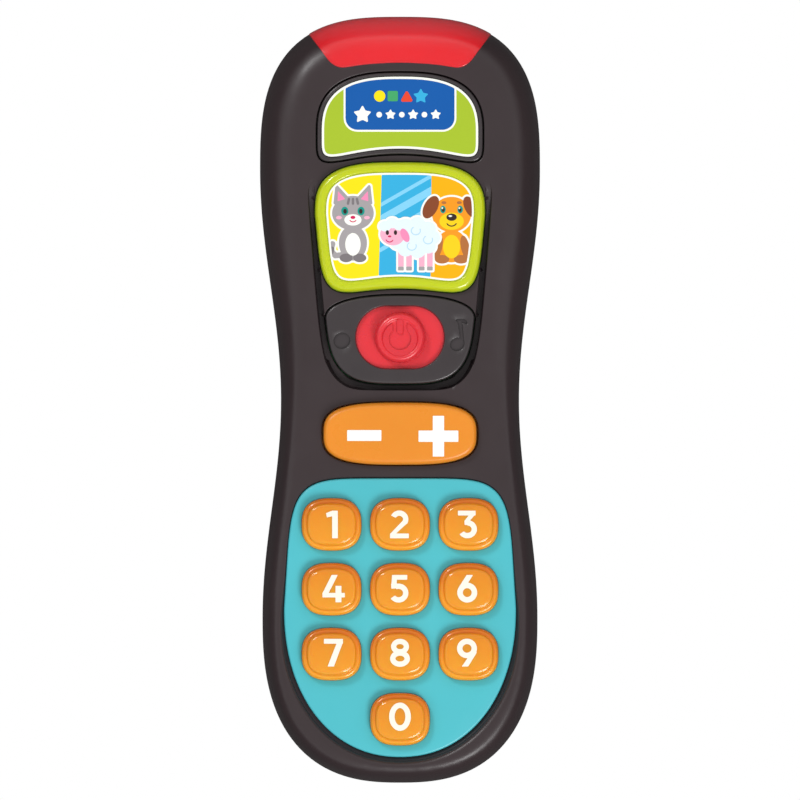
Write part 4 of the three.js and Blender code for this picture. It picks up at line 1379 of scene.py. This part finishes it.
def volume_rocker():
    """A domed cap with a flange that holds it in, and its two printed signs."""
    skin = Skin()
    edge = outline(**ROCKER, count=180)
    rings = skin.loft([(offset(edge, 0.9), 20.9), (offset(edge, 0.9), 21.6), (offset(edge, 0.14), 21.6)])
    skin.hollow(rings[0], offset(edge, -1.3), 20.9, 24.4)
    last = skin.step_in(rings[-1], edge, rocker_top, fillet(1.15, 7)[::-1])
    skin.crown(last, [0.92, 0.8, 0.6, 0.4, 0.2], rocker_top)
    skin.build("rocker_cap", [ROCKER_ORANGE], "volume_rocker", ["volume_rocker"])

    skin = Skin()
    minus = bar(-11.68, -7.85, -4.12, -7.85, 2.4)
    plus = joined(bar(4.1, -8, 12.9, -8, 2.5), bar(8.5, -3.5, 8.5, -12.5, 2.5))
    for sign in (minus, plus):
        imprint(skin, sign, (-13, -14, 14, -2), lifted(rocker_top, -0.15), lifted(rocker_top, PRINT_RISE), 0.09)
    skin.build("rocker_signs", [SIGN_INK], "volume_rocker")


volume_rocker()

# ---------------------------------------------------------------- number keys

upper_spots = [(column * KEY_COLUMN, y) for y in KEY_ROWS[:3] for column in (-1, 0, 1)]
key_spots = dict(zip([1, 2, 3, 4, 5, 6, 7, 8, 9, 0], [*upper_spots, (0, KEY_ROWS[3])]))


def keypad_plate():
    """The turquoise plate with ten key holes, hollow underneath."""
    skin = Skin()
    edge = outline(**KEYPAD, count=260)
    rings = skin.loft([(edge, PLATE_BOTTOM), *rounded_side(edge, PLATE_TOP, 0.5)])
    under = PLATE_TOP - WALL
    flat = level(PLATE_TOP)
    holes = []
    for x, y in key_spots.values():
        hole = opening_rings(skin, offset(key_outline(x, y), 0.05), flat, 0.1, under)
        skin.bands(hole)
        holes.append(hole)
    skin.fill(rings[-1], [hole[0] for hole in holes], flat, pitch=3)
    inner = skin.loft([(offset(edge, -1), PLATE_BOTTOM), (offset(edge, -1), under)])
    skin.band(rings[0], inner[0])
    skin.fill(inner[-1], [hole[-1] for hole in holes])
    skin.build("keypad_panel", [TURQUOISE], "casing", ["keypad_plate"])


def key_top(x, y):
    return lambda plan: KEY_TOP - 0.012 * (plan[:, 0] - x) ** 2 - 0.016 * (plan[:, 1] - y) ** 2


def number_key(digit, x, y):
    """A flange under the plate, a wall, a rounded shoulder, and a domed crown one step up."""
    skin = Skin()
    edge = key_outline(x, y)
    top = key_top(x, y)
    skirt = [(offset(edge, 0.65), 22.45), (offset(edge, 0.65), 23.9), (edge, 23.9), (edge, 27.3)]
    shoulder = rounded_side(edge, 28.35, 1, 6)
    # The wall and shoulder take the shaded copy of the orange, with light painted on their lower side and shade
    # on their upper side.
    skin.paint = 1
    rings = skin.loft(skirt + shoulder[1:] + [(offset(edge, -1.12), 28.33)])
    skin.cap(rings[0])
    skin.paint = 0
    bevel = [(1.16, 0.62), (1.2, 0.42), (1.3, 0.24), (1.48, 0.11), (1.75, 0.03), (2.05, 0)]
    skin.crown(skin.step_in(rings[-1], edge, top, bevel), [0.85, 0.65, 0.45, 0.25], top)
    skin.build(f"key_{digit}_cap", [KEY, KEY_SIDE_PAINTED_SHADE], f"key_{digit}", [f"key_{digit}"])


def digit_fields():
    """The ten digits, in millimetres from the middle of a key, with strokes 1 to 1.3 wide."""
    thick = 1.18
    return {
        1: joined(
            bar(0.78, -3.05, 0.78, 3.05, 1.25),
            polygon((1.1, 3.05), (0.2, 3.05), (-1.2, 2.5), (-1.0, 1.55), (0.5, 1.9)),
        ),
        2: joined(
            arc_field(-0.15, 1.15, 2.0, 1.95, thick, -32, 155),
            polygon((1.62, 0.3), (0.72, 0.98), (-2.2, -2.1), (-2.2, -3.05), (-1.55, -3.05), (-1.55, -2.6)),
            bar(-2.2, -2.52, 1.95, -2.52, 1.06),
        ),
        3: joined(
            bar(-2.35, 2.52, 1.55, 2.52, 1.06),
            polygon((1.55, 3.05), (1.55, 2.3), (0.1, 0.62), (-0.9, 0.62), (-0.95, 0.75), (0.35, 2.4)),
            arc_field(-0.25, -1.05, 2.1, 2.0, thick, 214, 90),
            bar(-0.9, 0.42, -0.2, 0.42, 1.05),
        ),
        4: joined(
            polygon((1.4, 3.05), (0.05, 3.05), (-1.98, -1.0), (-1.98, -1.9), (-0.85, -1.4)),
            bar(-1.98, -1.42, 2.95, -1.42, 1.0),
            bar(1.55, 0.65, 1.55, -3.0, 1.3),
        ),
        5: joined(
            bar(-1.75, 2.52, 1.6, 2.52, 1.06),
            polygon((-1.75, 3.05), (-0.65, 3.05), (-0.78, 0.3), (-1.95, 0.3)),
            arc_field(-0.3, -0.95, 2.15, 2.1, thick, 216, 118),
            bar(-1.95, 0.55, -0.4, 0.62, 1.06),
        ),
        6: joined(
            ring_field(-0.3, -0.85, 2.2, 2.2, 1.22),
            polygon((0.98, 3.05), (-0.42, 3.05), (-2.25, 0.2), (-1.9, -0.9), (-0.9, 0.1), (-0.35, 0.95)),
        ),
        7: joined(
            bar(-2.1, 2.52, 2.1, 2.52, 1.06),
            polygon((2.1, 3.05), (2.1, 2.3), (0.1, -3.05), (-1.3, -3.05), (0.75, 2.2)),
        ),
        8: joined(ring_field(0, 1.35, 1.98, 1.72, 1.15), ring_field(0, -1.3, 2.18, 1.82, 1.18)),
        9: joined(
            ring_field(0, 0.95, 2.2, 2.15, 1.2),
            polygon((-1.15, -3.05), (0.25, -3.05), (2.15, 0), (1.8, 0.9), (0.8, -0.1), (0.3, -0.95)),
        ),
        0: ring_field(0, 0, 2.4, 3.12, 1.22),
    }


def digit_prints():
    """Each digit on its key's dome, a little above its middle in the lower rows."""
    shift_y = [0, 0.15, 0.37, 0.63]
    for digit, field in digit_fields().items():
        x, y = key_spots[digit]
        top = key_top(x, y)
        x += {7: 0.45, 9: -0.35}.get(digit, 0)
        y += shift_y[KEY_ROWS.index(key_spots[digit][1])]
        skin = Skin()
        box = (x - 3.4, y - 3.6, x + 3.4, y + 3.6)
        imprint(skin, moved(field, x, y), box, lifted(top, -0.12), lifted(top, PRINT_RISE), 0.07)
        skin.build(f"key_{digit}_print", [DIGIT_INK], f"key_{digit}")


keypad_plate()
for digit, (key_x, key_y) in key_spots.items():
    number_key(digit, key_x, key_y)
digit_prints()

# ---------------------------------------------------------------- pieces inside, which keep their CAD shape

INSIDE = {
    "silicone": moulded("silicone", "d8d8cf", roughness=0.6, depth=0.01, glow=0.3),
    "board": moulded("board_mask", "1f6b3a", roughness=0.35, depth=0.02, grain=0.5),
    "black_plastic": moulded("black_plastic", "17181a", roughness=0.4),
    "speaker_body": moulded("speaker_body", "232425", roughness=0.55, depth=0.03),
    "red_insulation": moulded("red_insulation", "c8202a", roughness=0.45),
    "steel": STEEL,
    "nickel": moulded("nickel_plate", "c9c7c0", roughness=0.3, metallic=1, depth=0.006),
    "cell_jacket": moulded("cell_jacket", "2a6db0", roughness=0.3, depth=0.004),
    "lens_plastic": LENS,
    "button_plastic": BUTTON,
}


def dress_inside():
    """Gives each CAD node that still shows the material of its slot."""
    for row in frame["record"]["subparts"]:
        node = frame["nodes"][row["node"]]
        if not node.hide_render:
            node.data.materials.clear()
            node.data.materials.append(INSIDE[row["material_slot"]])


dress_inside()


def lay_floor():
    """A floor that is white to the camera, and dark to the light that bounces between it and the phone."""
    floor_mesh = bpy.data.meshes.new("floor")
    size = 4
    corners = [(-size, -size, 0), (size, -size, 0), (size, size, 0), (-size, size, 0)]
    floor_mesh.from_pydata(corners, [], [(0, 1, 2, 3)])
    floor = bpy.data.objects.new("floor", floor_mesh)
    floor.location.z = -0.0002
    bpy.context.scene.collection.objects.link(floor)
    material = bpy.data.materials.new("floor")
    material.use_nodes = True
    nodes, links = material.node_tree.nodes, material.node_tree.links
    nodes.clear()
    output = nodes.new("ShaderNodeOutputMaterial")
    shine = nodes.new("ShaderNodeEmission")
    matte = nodes.new("ShaderNodeBsdfDiffuse")
    chosen = nodes.new("ShaderNodeMixShader")
    path = nodes.new("ShaderNodeLightPath")
    matte.inputs["Color"].default_value = (0.1, 0.1, 0.1, 1)
    links.new(path.outputs["Is Camera Ray"], chosen.inputs["Fac"])
    links.new(matte.outputs["BSDF"], chosen.inputs[1])
    links.new(shine.outputs["Emission"], chosen.inputs[2])
    links.new(chosen.outputs["Shader"], output.inputs["Surface"])
    floor_mesh.materials.append(material)


def light(name, place, target, size, power):
    """A round area lamp that points at a place."""
    data = bpy.data.lights.new(name, "AREA")
    data.shape = "DISK"
    data.size = size
    data.energy = power
    lamp = bpy.data.objects.new(name, data)
    lamp.location = place
    lamp.rotation_euler = (Vector(target) - Vector(place)).to_track_quat("-Z", "Y").to_euler()
    bpy.context.scene.collection.objects.link(lamp)


def studio_dome():
    """A soft sky that is bright overhead and dark near the floor, behind a white background."""
    world = bpy.data.worlds.new("studio")
    world.use_nodes = True
    nodes, links = world.node_tree.nodes, world.node_tree.links
    dome = nodes["Background"]
    place = nodes.new("ShaderNodeTexCoord")
    split = nodes.new("ShaderNodeSeparateXYZ")
    ramp = nodes.new("ShaderNodeValToRGB")
    ramp.color_ramp.interpolation = "EASE"
    low, high = ramp.color_ramp.elements
    for stop, position, grey in [(low, 0.3, 0.03), (high, 0.56, 1)]:
        stop.position = position
        stop.color = (grey, grey, grey, 1)
    for position, grey in [(0.8, 0.6), (1, 0.48)]:
        ramp.color_ramp.elements.new(position).color = (grey, grey, grey, 1)
    links.new(place.outputs["Generated"], split.inputs["Vector"])
    links.new(split.outputs["Z"], ramp.inputs["Fac"])
    links.new(ramp.outputs["Color"], dome.inputs["Color"])
    dome.inputs["Strength"].default_value = 1.02
    backdrop = nodes.new("ShaderNodeBackground")
    chosen = nodes.new("ShaderNodeMixShader")
    path = nodes.new("ShaderNodeLightPath")
    links.new(path.outputs["Is Camera Ray"], chosen.inputs["Fac"])
    links.new(dome.outputs["Background"], chosen.inputs[1])
    links.new(backdrop.outputs["Background"], chosen.inputs[2])
    backdrop.inputs["Color"].default_value = (1, 1, 1, 1)
    links.new(chosen.outputs["Shader"], nodes["World Output"].inputs["Surface"])
    return world


SENSOR = 36
CAMERA_DISTANCE = 2500  # millimetres from the phone's middle
FRAME_WIDTH = 177.8  # millimetres that the frame spans at that distance


def stage():
    """The floor, the lights and a camera that looks straight down."""
    lay_floor()
    scene = bpy.context.scene
    scene.view_settings.view_transform = "Standard"
    scene.world = studio_dome()
    light("softbox", (0.45, -0.8, 0.95), (0, 0, 0), 0.55, 8)
    light("lamp", (-0.5, 0.6, 0.8), (0, 0, 0), 0.26, 3.3)
    camera = bpy.data.cameras.new("camera")
    camera.sensor_width = SENSOR
    camera.lens = SENSOR * CAMERA_DISTANCE / FRAME_WIDTH
    camera.clip_end = 100
    holder = bpy.data.objects.new("camera", camera)
    holder.location = (0, 0, CAMERA_DISTANCE * MM + 0.0145)
    scene.collection.objects.link(holder)
    scene.camera = holder


stage()
